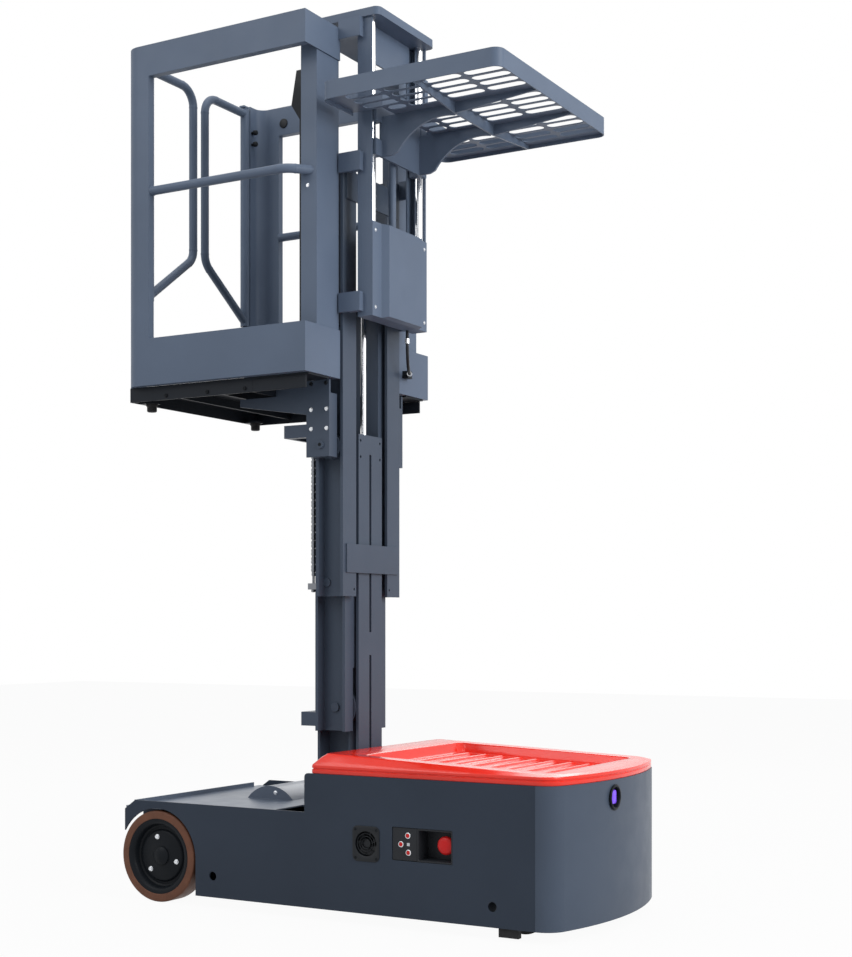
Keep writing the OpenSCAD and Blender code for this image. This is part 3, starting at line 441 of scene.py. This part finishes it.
def raise_to(loop, share, drop=0.0):
    """Lifts a plan between the skirt's top (share 0) and the sloping plane (share 1), lowered by drop."""
    z = COVER_SKIRT + (cover_top(loop[:, 0]) - COVER_SKIRT) * share - drop
    return np.column_stack([loop, z])


def cover_surface(edge):
    """Loops from the skirt's lower lip over the chamfer and its rounded edges to the pocket's floor."""
    e = edge / MM
    outer = [
        np.column_stack([nose_loop(8, COVER_BACK + 6), np.full(124, COVER_LOW + 0.3)]),
        np.column_stack([nose_loop(3, COVER_BACK + 1), np.full(124, COVER_LOW + 0.3)]),
        np.column_stack([nose_loop(2, COVER_BACK), np.full(124, COVER_LOW + 2)]),
        np.column_stack([nose_loop(2, COVER_BACK), np.full(124, 449)]),
        np.column_stack([nose_loop(4.5, COVER_BACK + 2.5), np.full(124, 450.5)]),
        np.column_stack([nose_loop(4.5, COVER_BACK + 2.5), np.full(124, 452.5)]),
        np.column_stack([nose_loop(2, COVER_BACK), np.full(124, 454)]),
        raise_to(nose_loop(2, COVER_BACK), 0, 3),
        raise_to(nose_loop(3.2, COVER_BACK + 1), 0.04),
    ]
    for share in (0.35, 0.7):
        outer.append(raise_to(nose_loop(2 + 24 * share, COVER_BACK + 36 * share), share))
    for turn in (0.0, 0.33, 0.66, 1.0):
        share = 1 - (e / 24) * (1 - turn) ** 2 * 0.5
        outer.append(raise_to(nose_loop(26 + e * (turn - 0.5), COVER_BACK + 38 + e * (turn - 0.5)), share))
    inner = [raise_to(pocket_loop(s), 1, d) for s, d in (
        (-5, 0), (-2.6, 0.7), (-0.8, 2.4), (0.2, 5.2), (5.5, 17), (10.0, 26), (12.0, 28.8), (15, 30.6),
        (20, POCKET_DEEP), (26, POCKET_DEEP + 0.4))]
    return np.array(outer + inner)


def pocket_floor(rib):
    """Floor under the ribs: a plane parallel to the cover's top, raised by smooth humps along X that fade at the sides."""
    x = np.linspace(POCKET[0] + 14, POCKET[1] - 14, 300)
    y = np.linspace(-POCKET[2] + 14, POCKET[2] - 14, 60)
    gx, gy = np.meshgrid(x, y, indexing="ij")
    pitch = (POCKET[1] - POCKET[0]) / 10
    away = np.abs((gx - POCKET[0] + pitch / 2) % pitch - pitch / 2)
    inside = np.clip((pitch * 9.5 - np.abs(gx - POCKET[0] - pitch * 5) - pitch * 5) / 4 + pitch, 0, 1)
    hump = np.clip(1 - (away / 6.5) ** 2, 0, 1) ** 0.6
    fade = np.clip((POCKET[2] - 30 - np.abs(gy)) / 10, 0, 1)
    gz = cover_top(gx) - POCKET_DEEP - 0.2 + hump * fade * inside * rib / MM
    return np.stack([gx, gy, gz], axis=-1)


class PICKER_OT_red_cover(bpy.types.Operator):
    """Moulded red cover with its groove, rounded edges and ribbed pocket"""

    bl_idname = "picker.red_cover"
    bl_label = "Red cover"

    def execute(self, context):
        sizes = context.scene.picker_sizes
        shell = Shell().add(cover_surface(sizes.cover_edge), wrap_cols=True)
        shell.add(pocket_floor(sizes.rib_height))
        cover = shell.build("cover_moulding", "chassis", FINISHES["cover"], "red_panel")
        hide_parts("red_cover")
        return {"FINISHED"}


# Wheels


def bolt(radius, height, centre, axis, sides=6):
    """Hexagon or round head with a broken edge, standing on its washer."""
    profile = [(0, 0), (radius * 1.25, 0), (radius * 1.25, height * 0.18), (radius, height * 0.2),
               (radius, height * 0.85), (radius * 0.85, height), (radius * 0.45, height),
               (radius * 0.4, height * 0.7), (0, height * 0.7)]
    return lathe(profile, centre, axis, sides * (1 if sides > 8 else 3) if sides > 6 else 18)


class PICKER_OT_drive_wheels(bpy.types.Operator):
    """Polyurethane drive wheels with dished black hubs, cap and screws"""

    bl_idname = "picker.drive_wheels"
    bl_label = "Drive wheels"

    def execute(self, context):
        shoulder = context.scene.picker_sizes.tread_shoulder / MM
        for side, sign in (("near", -1), ("far", 1)):
            axis = "-Y" if sign < 0 else "+Y"
            body = f"drive_wheel_{side}"
            face = WHEEL_IN + WHEEL_W
            centre = (AXLE[0], 0, AXLE[1])
            r, q = 145, shoulder
            turn = np.linspace(0, math.pi / 2, 5)
            outer = [(r - q + q * math.sin(t), face - q + q * math.cos(t)) for t in turn]
            inner = [(r - q + q * math.cos(t), WHEEL_IN + q - q * math.sin(t)) for t in turn]
            tread = [(119, face - 1.5), (120.5, face), *outer, (r, WHEEL_IN + WHEEL_W / 2), *inner,
                     (120.5, WHEEL_IN), (119, WHEEL_IN + 1.5), (119, face - 1.5)]
            tyre = Shell().add(lathe(tread, centre, axis, 120), wrap_cols=True)
            tyre = tyre.build(f"tread_{side}", body, FINISHES["tread"], "wheel_tread")
            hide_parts(f"drive_tyre_{side}")
            dish = [(0, face - 12), (26, face - 12.5), (30, face - 14), (31, face - 19), (33, face - 20),
                    (76, face - 20), (80, face - 22), (84, face - 28), (92, face - 29), (97, face - 26),
                    (100, face - 12), (103, face - 6), (107, face - 3), (113, face - 1), (119, face - 1),
                    (119, WHEEL_IN + 2), (110, WHEEL_IN + 1), (90, WHEEL_IN + 12), (40, WHEEL_IN + 12),
                    (40, WHEEL_IN), (22.05, WHEEL_IN), (22.05, WHEEL_IN + 13), (0, WHEEL_IN + 13)]
            cap = [(0, face - 4), (9, face - 5), (18, face - 7.5), (26, face - 11), (30, face - 14)]
            hub = Shell().add(lathe(cap + dish[3:], centre, axis, 96), wrap_cols=True)
            hub = hub.build(f"hub_{side}", body, FINISHES["black gloss"], "black_steel")
            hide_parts(f"drive_hub_{side}")
            screws = Shell()
            for degrees in (106, -14, 226):
                a = math.radians(degrees)
                spot = (AXLE[0] + 62 * math.cos(a), sign * (face - 20), AXLE[1] + 62 * math.sin(a))
                screws.add(bolt(6.5, 6, spot, axis, 18), wrap_cols=True)
            screws.build(f"hub_screws_{side}", body, FINISHES["zinc"], "zinc")
        return {"FINISHED"}


# Fasteners


def heads(rows, radius, height, axis, sides=6):
    shell = Shell()
    for spot in rows:
        shell.add(bolt(radius, height, spot, axis, sides), wrap_cols=True)
    return shell


class PICKER_OT_fasteners(bpy.types.Operator):
    """Bolt heads and screws on chassis, mast, carriage and cab"""

    bl_idname = "picker.fasteners"
    bl_label = "Fasteners"

    def execute(self, context):
        zinc, dark = FINISHES["zinc"], FINISHES["black gloss"]
        both = [(-1, "-Y", "near"), (1, "+Y", "far")]
        for s, axis, side in both:
            low = [(x, s * 221, z) for x in (-167, -110) for z in (1489, 1549)]
            heads(low, 5.2, 4.5, axis, 18).build(f"arm_bolts_{side}", "carriage", zinc, "zinc")
            # The upper row repeats the arm bolts in black enamel instead of zinc: painted shade where the arm's top
            # lies in the shade under the floor's apron.
            high = [(x, s * 221, 1629) for x in (-167, -112)]
            heads(high, 5.2, 4.5, axis, 18).build(f"arm_bolts_painted_shade_{side}", "carriage", dark, "black_steel")
            heads([(-126, s * (HALF_W - 70), 2222)], 4.6, 3.5, axis, 18).build(f"column_screw_{side}", "carriage", zinc, "zinc")
            rim = [(x, s * (HALF_W - 26), 1612) for x in (-640, -476, -330)]
            heads(rim, 5.5, 4.5, axis, 18).build(f"floor_bolts_{side}", "carriage", dark, "black_steel")
            socket = [(0, 0.8), (5.4, 0.8), (5.8, 0), (0, 0)]
            hole = Shell().add(lathe(socket, (-132, s * 227, 1439), axis, 24), wrap_cols=True)
            hole.build(f"axle_socket_{side}", "carriage", dark, "black_steel")
        front = [(24, y, z) for y in (-150, 150) for z in (1862, 2100)]
        heads(front, 4.5, 3, "+X", 18).build("housing_screws", "carriage", zinc, "zinc")
        heads([(-467, 12, 322)], 6, 4, "-Y", 18).build("hump_screw", "chassis", zinc, "zinc")
        fan = [(x, -HALF_W - 3, z) for x in (92, 164) for z in (198, 282)]
        heads(fan, 3.4, 1.8, "-Y", 18).build("fan_screws", "chassis", dark, "black_steel")
        return {"FINISHED"}


# Lift chains


def link_plate(pitch, wide, thick):
    """A link plate: two round ends joined by a waist, given a thickness along Y."""
    angle = np.linspace(0, math.pi, 7)
    top = np.column_stack([wide / 2 * np.cos(angle), pitch / 2 + wide / 2 * np.sin(angle)])
    low = np.column_stack([-wide / 2 * np.cos(angle), -pitch / 2 - wide / 2 * np.sin(angle)])
    ring = np.vstack([top, [[-wide * 0.36, 0]], low, [[wide * 0.36, 0]]])
    t = thick / 2
    shut = ring * 0
    return loft([(shut, t), (ring, t), (ring, -t), (shut, -t)], (0, 0, 0), "+Y")


class PICKER_OT_lift_chains(bpy.types.Operator):
    """Leaf chains with their link plates, pins and threaded anchors"""

    bl_idname = "picker.lift_chains"
    bl_label = "Lift chains"

    def execute(self, context):
        pitch = context.scene.picker_sizes.chain_pitch / MM
        first, last = 1040, 1884
        count = int((last - first) / pitch)
        rise = first + (np.arange(count) + 0.5) * pitch
        plate = link_plate(pitch, 10.4, 1.8)
        pin = lathe([(0, -6.4), (2.2, -6.4), (2.2, 6.4), (0, 6.4)], (0, 0, 0), "+Y", 8)
        shell = Shell()
        for y in (-CHAIN_Y, CHAIN_Y):
            for i, z in enumerate(rise):
                layers = (-5, -1.1, 1.1, 5) if i % 2 else (-3, 3)
                shell.copies(plate, [(CHAIN_X, y + k, z) for k in layers], wrap_cols=True)
                shell.add(pin + np.array([CHAIN_X, y, z - pitch / 2]), wrap_cols=True)
            turns = np.tile([4.6, 3.9], 13)
            thread = [(0, 984)] + [(r, 984 + 2.1 * k) for k, r in enumerate(turns)] + [(6, 1036), (6, 1044), (0, 1044)]
            shell.add(lathe(thread, (CHAIN_X, y, 0), "+Z", 16), wrap_cols=True)
            shell.add(lathe([(0, 985), (8, 985), (8, 992), (0, 992)], (CHAIN_X, y, 0), "+Z", 6), wrap_cols=True)
            side = 1 if y > 0 else -1
            shell.add(box((CHAIN_X - 12, y - 14, 992.5), (-182.2, y + 14, 1012)), wrap_cols=True)
        chains = shell.build("chain_links", "outer_stage", FINISHES["chain steel"], "zinc")
        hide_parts("lift_chains")
        return {"FINISHED"}


# Pieces on the chassis side and nose


class PICKER_OT_fan(bpy.types.Operator):
    """Cooling fan behind its square black frame"""

    bl_idname = "picker.fan"
    bl_label = "Fan"

    def execute(self, context):
        middle = (128, -HALF_W, 240)
        outer, lip = rounded(92, 104, 16), rounded(86, 98, 14)
        ring = np.column_stack([36 * np.cos(np.linspace(0, TAU, 32, endpoint=False)),
                                36 * np.sin(np.linspace(0, TAU, 32, endpoint=False))])
        ring = np.roll(ring, 0, axis=0)
        case = loft([(rounded(74, 86, 12) * 0.98, -26), (rounded(74, 86, 12), 0.2), (outer, 0.2), (outer, 2),
                     (lip, 3), (ring * 1.08, 3), (ring * 1.02, 1.5), (ring, -20), (ring * 0, -21)], middle, "-Y")
        shell = Shell().add(case, wrap_cols=True)
        for r in (14, 22, 30):
            wire = [(r - 1.1, 1), (r, 2.1), (r + 1.1, 1), (r, -0.1), (r - 1.1, 1)]
            shell.add(lathe(wire, middle, "-Y", 40), wrap_cols=True)
        hub = [(0, -3), (11, -3.4), (12.5, -5), (12.5, -18), (0, -18)]
        shell.add(lathe(hub, middle, "-Y", 32), wrap_cols=True)
        blade = np.arange(7) * TAU / 7
        r = np.linspace(12, 34, 6)[:, None]
        for a in blade:
            sweep = a + (r - 12) * 0.012
            for edge in (0.0,):
                lead = np.linspace(0, 0.62, 5)[None, :]
                angle = sweep + lead
                high = -6 - lead / 0.62 * 9 + 0 * r
                sheet = np.stack([middle[0] + r * np.cos(angle), middle[1] - high, middle[2] + r * np.sin(angle)], -1)
                shell.add(np.concatenate([sheet, sheet[::-1] + [0, 1.2, 0]]), wrap_rows=True)
        fan = shell.build("fan", "chassis", FINISHES["moulded black"], "black_plastic")
        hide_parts("fan_grille")
        return {"FINISHED"}


class PICKER_OT_switches(bpy.types.Operator):
    """Switch plate with three ringed push buttons, and the emergency stop in its well"""

    bl_idname = "picker.switches"
    bl_label = "Switches"

    def execute(self, context):
        plate = loft([(rounded(82, 95, 1) * 0, -6), (rounded(82, 95, 1), -6), (rounded(82, 95, 1), -2.8),
                      (rounded(80.6, 93.6, 1), -2), (rounded(80.6, 93.6, 1) * 0, -2)], (258, -HALF_W, 247.5), "-Y")
        panel = Shell().add(plate, wrap_cols=True).build("switch_plate", "chassis", FINISHES["moulded grey"], "black_plastic")
        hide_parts("button_panel")
        spots = ((269, 273), (246, 247), (271, 224))
        rings, caps = Shell(), Shell()
        for x, z in spots:
            at = (x, -HALF_W + 2, z)
            rings.add(lathe([(6.4, 0.5), (8.6, 0), (8.8, 1.6), (7.8, 2.6), (6.6, 2.4), (6.4, 0.5)], at, "-Y", 32), wrap_cols=True)
            caps.add(lathe([(0, 2.2), (4.5, 1.9), (6.2, 1.0), (6.4, 0), (0, 0)], at, "-Y", 32), wrap_cols=True)
        rings.build("button_rings", "chassis", FINISHES["zinc"], "zinc")
        caps.build("button_caps", "chassis", FINISHES["button red"], "red_panel")
        tab = Shell().add(box((266, -HALF_W + 1.4, 243), (275, -HALF_W + 2, 252)), wrap_cols=True)
        tab.build("key_window", "chassis", FINISHES["pale label"], "black_plastic", smooth=False)
        well = loft([(rounded(116, 95, 2) * 0, -61), (rounded(116, 95, 2), -61), (rounded(116, 95, 2), -1.4),
                     (rounded(108, 87, 3), -1.4), (rounded(106, 85, 3), -3), (rounded(104, 83, 3), -57),
                     (rounded(104, 83, 3) * 0, -57)], (358, -HALF_W, 247.5), "-Y")
        shell = Shell().add(well, wrap_cols=True)
        cup = shell.build("stop_well", "chassis", FINISHES["moulded grey"], "black_plastic")
        knob = [(0, -10), (12, -10.4), (20, -12), (25, -15), (27, -19), (27, -23), (24, -26), (14, -28), (13, -40),
                (20, -41), (20, -57), (0, -57)]
        top = Shell().add(lathe(knob, (385, -HALF_W, 250), "-Y", 48), wrap_cols=True)
        top = top.build("stop_knob", "chassis", FINISHES["button red"], "red_panel")
        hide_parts("emergency_stop")
        return {"FINISHED"}


class PICKER_OT_spot_lamp(bpy.types.Operator):
    """Warning spot lamp: black bezel, violet lens and its reflector"""

    bl_idname = "picker.spot_lamp"
    bl_label = "Spot lamp"

    def execute(self, context):
        y, z = -84, 386
        x = NOSE_MID + math.sqrt(NOSE_R**2 - y * y)
        at = (x, y, z)
        bezel = [(0, -38), (32, -38), (32.4, 0.6), (37, 0.6), (37, 3.4), (35, 5), (31.5, 5.2), (29.5, 3.5), (28.5, -6), (27.5, -9),
                 (0, -9)]
        lamp = Shell().add(lathe(bezel, at, "+X", 64), wrap_cols=True)
        lamp = lamp.build("lamp_bezel", "chassis", FINISHES["black gloss"], "black_plastic")
        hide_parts("spot_lamp")
        window = rounded(38, 42, 9)
        lens = loft([(window, -9), (window, -5), (window * 0.9, -2), (window * 0.55, -0.4), (window * 0, 0)], at, "+X")
        Shell().add(lens, wrap_cols=True).build("lamp_lens", "chassis", FINISHES["lens"], "black_plastic")
        core = lathe([(0, -4), (6, -4.5), (9, -7), (9, -9)], at, "+X", 32)
        Shell().add(core, wrap_cols=True).build("lamp_core", "chassis", FINISHES["lens core"], "black_plastic")
        return {"FINISHED"}


# Cab pieces


class PICKER_OT_cab_trim(bpy.types.Operator):
    """Round disc, hinge knobs, pan side strips, floor pads, guide rods, cable ferrules and rail flanges in the cab"""

    bl_idname = "picker.cab_trim"
    bl_label = "Cab trim"

    def execute(self, context):
        black = FINISHES["moulded black"]
        disc = [(0, 4), (14, 4), (16.5, 3), (17, 0), (0, 0)]
        shell = Shell().add(lathe(disc, (-668, HALF_W - 25, 2673), "-Y", 40), wrap_cols=True)
        for z in (2599, 2640):
            knob = [(0, 22), (7, 22), (9, 19), (9, 10), (5, 8), (5, 0), (0, 0)]
            shell.add(lathe(knob, (-771, 295, z), "+X", 24), wrap_cols=True)
        shell.build("cab_knobs", "carriage", black, "black_plastic")
        sides = Shell()
        for s in (-1, 1):
            low, high = sorted((s * (HALF_W - 26.3), s * (HALF_W - 32)))
            # The side strips carry the darkest copy of the enamel: painted shade along the pan's sides.
            sides.add(box((-300, low, 1599.5), (-104, high, 1638.5)), wrap_cols=True)
        sides.build("pan_sides", "carriage", FINISHES["pan enamel painted shade"], "black_steel", smooth=False)
        pads = Shell()
        foot = [(0, 1573), (13, 1573), (16, 1576), (16, 1590), (19, 1592), (19, 1599), (0, 1599)]
        for s in (-1, 1):
            pads.add(lathe(foot, (-748, s * (HALF_W - 86), 0), "+Z", 32), wrap_cols=True)
        pads.build("floor_pads", "carriage", FINISHES["rubber"], "black_plastic")
        guides = Shell()
        for s in (-1, 1):
            guides.add(lathe([(0, 1841), (13.8, 1841), (13.8, 2754), (0, 2754)], (6, s * 145, 0), "+Z", 48), wrap_cols=True)
        guides.build("guide_rods", "carriage", FINISHES["chrome"], "chrome_rod")
        ends = Shell().add(tube([(-16, 110, 1792), (-16, 110, 1808)], 7.5, 20, (1, 0, 0)), wrap_cols=True)
        ends.add(tube([(-54.5, 189, 1709), (-62.8, 206, 1709)], 8, 20), wrap_cols=True)
        ends.build("cable_ferrules", "carriage", FINISHES["zinc"], "zinc")
        for s, side in ((-1, "near"), (1, "far")):
            cup = [(0, 7), (13.5, 7), (15.4, 6), (15.6, 4), (15.6, 0), (0, 0)]
            at = (-NOSE_X + 106, s * (HALF_W - 16), 2268)
            flange = Shell().add(lathe(cup, at, "+X", 32), wrap_cols=True)
            flange.build(f"rail_flange_{side}", "carriage", FINISHES["enamel"], "paint")
        return {"FINISHED"}


# Finishes on the solids, and the stage


class PICKER_OT_finishes(bpy.types.Operator):
    """Makes every finish and lays it on the solids that stay in view"""

    bl_idname = "picker.finishes"
    bl_label = "Finishes"

    def execute(self, context):
        c = context.scene.picker_finishes
        F = FINISHES
        F["enamel"] = enamel("grey blue enamel", c.enamel, 0.42)
        # Mast enamel is the same grey-blue enamel at 0.56 of its colour: painted shade on the mast, nose, lift
        # cylinders and castor bridges.
        F["mast enamel painted shade"] = enamel("mast enamel painted shade", shade(c.enamel, 0.56), 0.40)
        # Chassis enamel is the same enamel at 0.34 of its colour, with less sheen: painted shade on the low side
        # plates, underframe and drive units.
        F["chassis enamel painted shade"] = enamel("chassis enamel painted shade", shade(c.enamel, 0.34), 0.44, 0.12)
        # Dark enamel is the same enamel at 0.10 of its colour: painted shade on the platform floor pan and its side
        # strips.
        F["pan enamel painted shade"] = enamel("pan enamel painted shade", shade(c.enamel, 0.10), 0.42, 0.15)
        F["deck"] = enamel("deck enamel", c.deck, 0.32, 0.5)
        F["cover"] = enamel("cover red gloss", c.cover, 0.20, 0.35, 0.25, 0.001)
        F["tread"] = cast_rubber("brown polyurethane", c.tread, 0.50)
        F["rubber"] = cast_rubber("black rubber", (0.018, 0.018, 0.019), 0.65)
        F["black gloss"] = enamel("black enamel", c.black, 0.40, 0.1)
        F["moulded black"] = moulded("moulded black", c.black, 0.48)
        F["moulded grey"] = moulded("moulded dark grey", (0.014, 0.016, 0.020), 0.5)
        F["button red"] = moulded("button red", (0.60, 0.012, 0.012), 0.32)
        F["pale label"] = moulded("pale window", (0.62, 0.64, 0.66), 0.4)
        F["zinc"] = bare_metal("bright zinc", (0.72, 0.74, 0.77), 0.26)
        F["chain steel"] = bare_metal("oiled chain steel", (0.20, 0.21, 0.23), 0.38)
        F["chrome"] = bare_metal("chromed rod", (0.80, 0.81, 0.83), 0.10, (1, 1, 0.02))
        lens = moulded("violet lens", c.lens, 0.12)
        F["lens"] = lens
        glow = Finish("violet lens core")
        glow.colours((0.85, 0.55, 1.0), (0.95, 0.75, 1.0), glow.noise(200.0))
        glow.set(Emission_Color=(0.75, 0.35, 1.0, 1.0), Emission_Strength=1.2)
        F["lens core"] = glow.material
        by_slot = {"paint": "enamel", "paint_light": "enamel", "black_steel": "black gloss",
                   "black_plastic": "moulded black", "red_panel": "cover", "wheel_tread": "tread",
                   "chrome_rod": "chrome", "zinc": "zinc"}
        # platform_floor takes the darkest copy of the enamel: painted shade.
        by_node = {"deck": "deck", "load_tray": "enamel", "platform_floor": "pan enamel painted shade",
                   "battery_block": "moulded black", "castor_wheel_near": "rubber", "castor_wheel_far": "rubber",
                   "tipping_feet": "rubber"}
        # The side plates, underframe and drive units take the darkened copy of the one enamel: painted shade.
        by_node.update(dict.fromkeys(("side_plate_near", "side_plate_far", "underframe", "drive_units"), "chassis enamel painted shade"))
        # The mast, nose, cylinders and castor bridges take the darker copy of the one enamel: painted shade.
        by_node.update(dict.fromkeys(("nose_shell", "mast_stage1", "mast_stage2", "mast_stage3", "carriage_frame",
                                      "lift_cylinders", "castor_bridges"), "mast enamel painted shade"))
        slot_of = {p["node"]: p["material_slot"] for p in frame["record"]["subparts"]}
        for name, piece in frame["nodes"].items():
            material = F[by_node.get(name) or by_slot[slot_of[name]]]
            for k in range(len(piece.material_slots)):
                piece.material_slots[k].material = material
            if not piece.material_slots:
                piece.data.materials.append(material)
        return {"FINISHED"}


CAMERA = ((2.584, -4.286, 0.887), (math.radians(90), 0.0, math.radians(29.92)))
LENS = 59.3
SHIFT_UP = 0.151


def white_behind(tree):
    """1 for camera, glossy and transmission rays, which see plain white surroundings, and 0 for the rest."""
    path = tree.nodes.new("ShaderNodeLightPath")
    share = path.outputs["Is Camera Ray"]
    for kind in ("Is Glossy Ray", "Is Transmission Ray"):
        both = tree.nodes.new("ShaderNodeMath")
        both.operation = "MAXIMUM"
        tree.links.new(share, both.inputs[0])
        tree.links.new(path.outputs[kind], both.inputs[1])
        share = both.outputs[0]
    return share


class PICKER_OT_stage(bpy.types.Operator):
    """Pale floor, soft studio lamps, white surroundings and the camera"""

    bl_idname = "picker.stage"
    bl_label = "Stage"

    def execute(self, context):
        scene = context.scene
        scene.view_settings.view_transform = "Standard"
        world = bpy.data.worlds.new("studio")
        scene.world = world
        world.use_nodes = True
        tree = world.node_tree
        tree.nodes.clear()
        out = tree.nodes.new("ShaderNodeOutputWorld")
        soft = tree.nodes.new("ShaderNodeBackground")
        soft.inputs["Color"].default_value = (0.93, 0.96, 1.0, 1)
        soft.inputs["Strength"].default_value = 0.55
        white = tree.nodes.new("ShaderNodeBackground")
        white.inputs["Color"].default_value = (1, 1, 1, 1)
        white.inputs["Strength"].default_value = 1.0
        mix = tree.nodes.new("ShaderNodeMixShader")
        tree.links.new(white_behind(tree), mix.inputs[0])
        tree.links.new(soft.outputs[0], mix.inputs[1])
        tree.links.new(white.outputs[0], mix.inputs[2])
        tree.links.new(mix.outputs[0], out.inputs["Surface"])

        mesh = bpy.data.meshes.new("floor")
        reach = 14.0
        mesh.from_pydata([(-reach, -reach, 0), (reach, -reach, 0), (reach, reach, 0), (-reach, reach, 0)], [], [(0, 1, 2, 3)])
        floor = bpy.data.objects.new("floor", mesh)
        scene.collection.objects.link(floor)
        f = Finish("pale floor")
        f.colours((0.50, 0.50, 0.50), (0.52, 0.52, 0.52), f.noise(2.0))
        f.set(Roughness=0.9, Specular_IOR_Level=0.1)
        glow = f.node("ShaderNodeEmission", Strength=1.0)
        blend = f.node("ShaderNodeMixShader")
        share = f.node("ShaderNodeMath", operation="MULTIPLY")
        share.inputs[1].default_value = 0.95
        f.link(white_behind(f.tree), share.inputs[0])
        f.link(share.outputs[0], blend.inputs[0])
        f.link(f.shader.outputs[0], blend.inputs[1])
        f.link(glow.outputs[0], blend.inputs[2])
        f.link(blend.outputs[0], f.tree.nodes["Material Output"].inputs["Surface"])
        mesh.materials.append(f.material)

        lamps = (
            ("key", (-2.6, -4.2, 4.6), 3.2, 76.0),
            ("front", (4.6, -0.6, 3.0), 3.0, 190.0),
            ("back", (-1.5, 4.5, 3.6), 3.0, 60.0),
            ("top", (0.2, -0.4, 5.6), 3.0, 60.0),
        )
        for name, spot, size, power in lamps:
            data = bpy.data.lights.new(name, "AREA")
            data.shape = "SQUARE"
            data.size = size
            data.energy = power
            lamp = bpy.data.objects.new(name, data)
            lamp.location = spot
            aim = np.array([0.0, 0.0, 1.2]) - np.array(spot)
            flat = math.hypot(aim[0], aim[1])
            lamp.rotation_euler = (math.atan2(flat, -aim[2]), 0, math.atan2(aim[1], aim[0]) - math.pi / 2)
            scene.collection.objects.link(lamp)

        data = bpy.data.cameras.new("camera")
        data.sensor_fit = "VERTICAL"
        data.sensor_height = 36
        data.lens = LENS
        data.shift_y = SHIFT_UP
        camera = bpy.data.objects.new("camera", data)
        camera.location, camera.rotation_euler = CAMERA
        scene.collection.objects.link(camera)
        scene.camera = camera
        return {"FINISHED"}


PIECES = (PICKER_OT_finishes, PICKER_OT_red_cover, PICKER_OT_drive_wheels, PICKER_OT_fasteners,
          PICKER_OT_lift_chains, PICKER_OT_fan, PICKER_OT_switches, PICKER_OT_spot_lamp,
          PICKER_OT_cab_trim, PICKER_OT_stage)


class PICKER_PT_panel(bpy.types.Panel):
    """Lists the truck's sizes, colours and pieces"""

    bl_idname = "PICKER_PT_panel"
    bl_label = "Order picker"
    bl_space_type = "VIEW_3D"
    bl_region_type = "UI"
    bl_category = "Order picker"

    def draw(self, context):
        for group in (context.scene.picker_sizes, context.scene.picker_finishes):
            for name in group.bl_rna.properties.keys():
                if name not in ("rna_type", "name"):
                    self.layout.prop(group, name)
        for piece in PIECES:
            self.layout.operator(piece.bl_idname)


CLASSES = (PickerFinishes, PickerSizes, *PIECES, PICKER_PT_panel)


def register():
    for each in CLASSES:
        bpy.utils.register_class(each)
    bpy.types.Scene.picker_finishes = bpy.props.PointerProperty(type=PickerFinishes)
    bpy.types.Scene.picker_sizes = bpy.props.PointerProperty(type=PickerSizes)


def unregister():
    del bpy.types.Scene.picker_sizes
    del bpy.types.Scene.picker_finishes
    for each in reversed(CLASSES):
        bpy.utils.unregister_class(each)


def main():
    register()
    for piece in PIECES:
        group, name = piece.bl_idname.split(".")
        getattr(getattr(bpy.ops, group), name)()


if __name__ == "__main__":
    main()
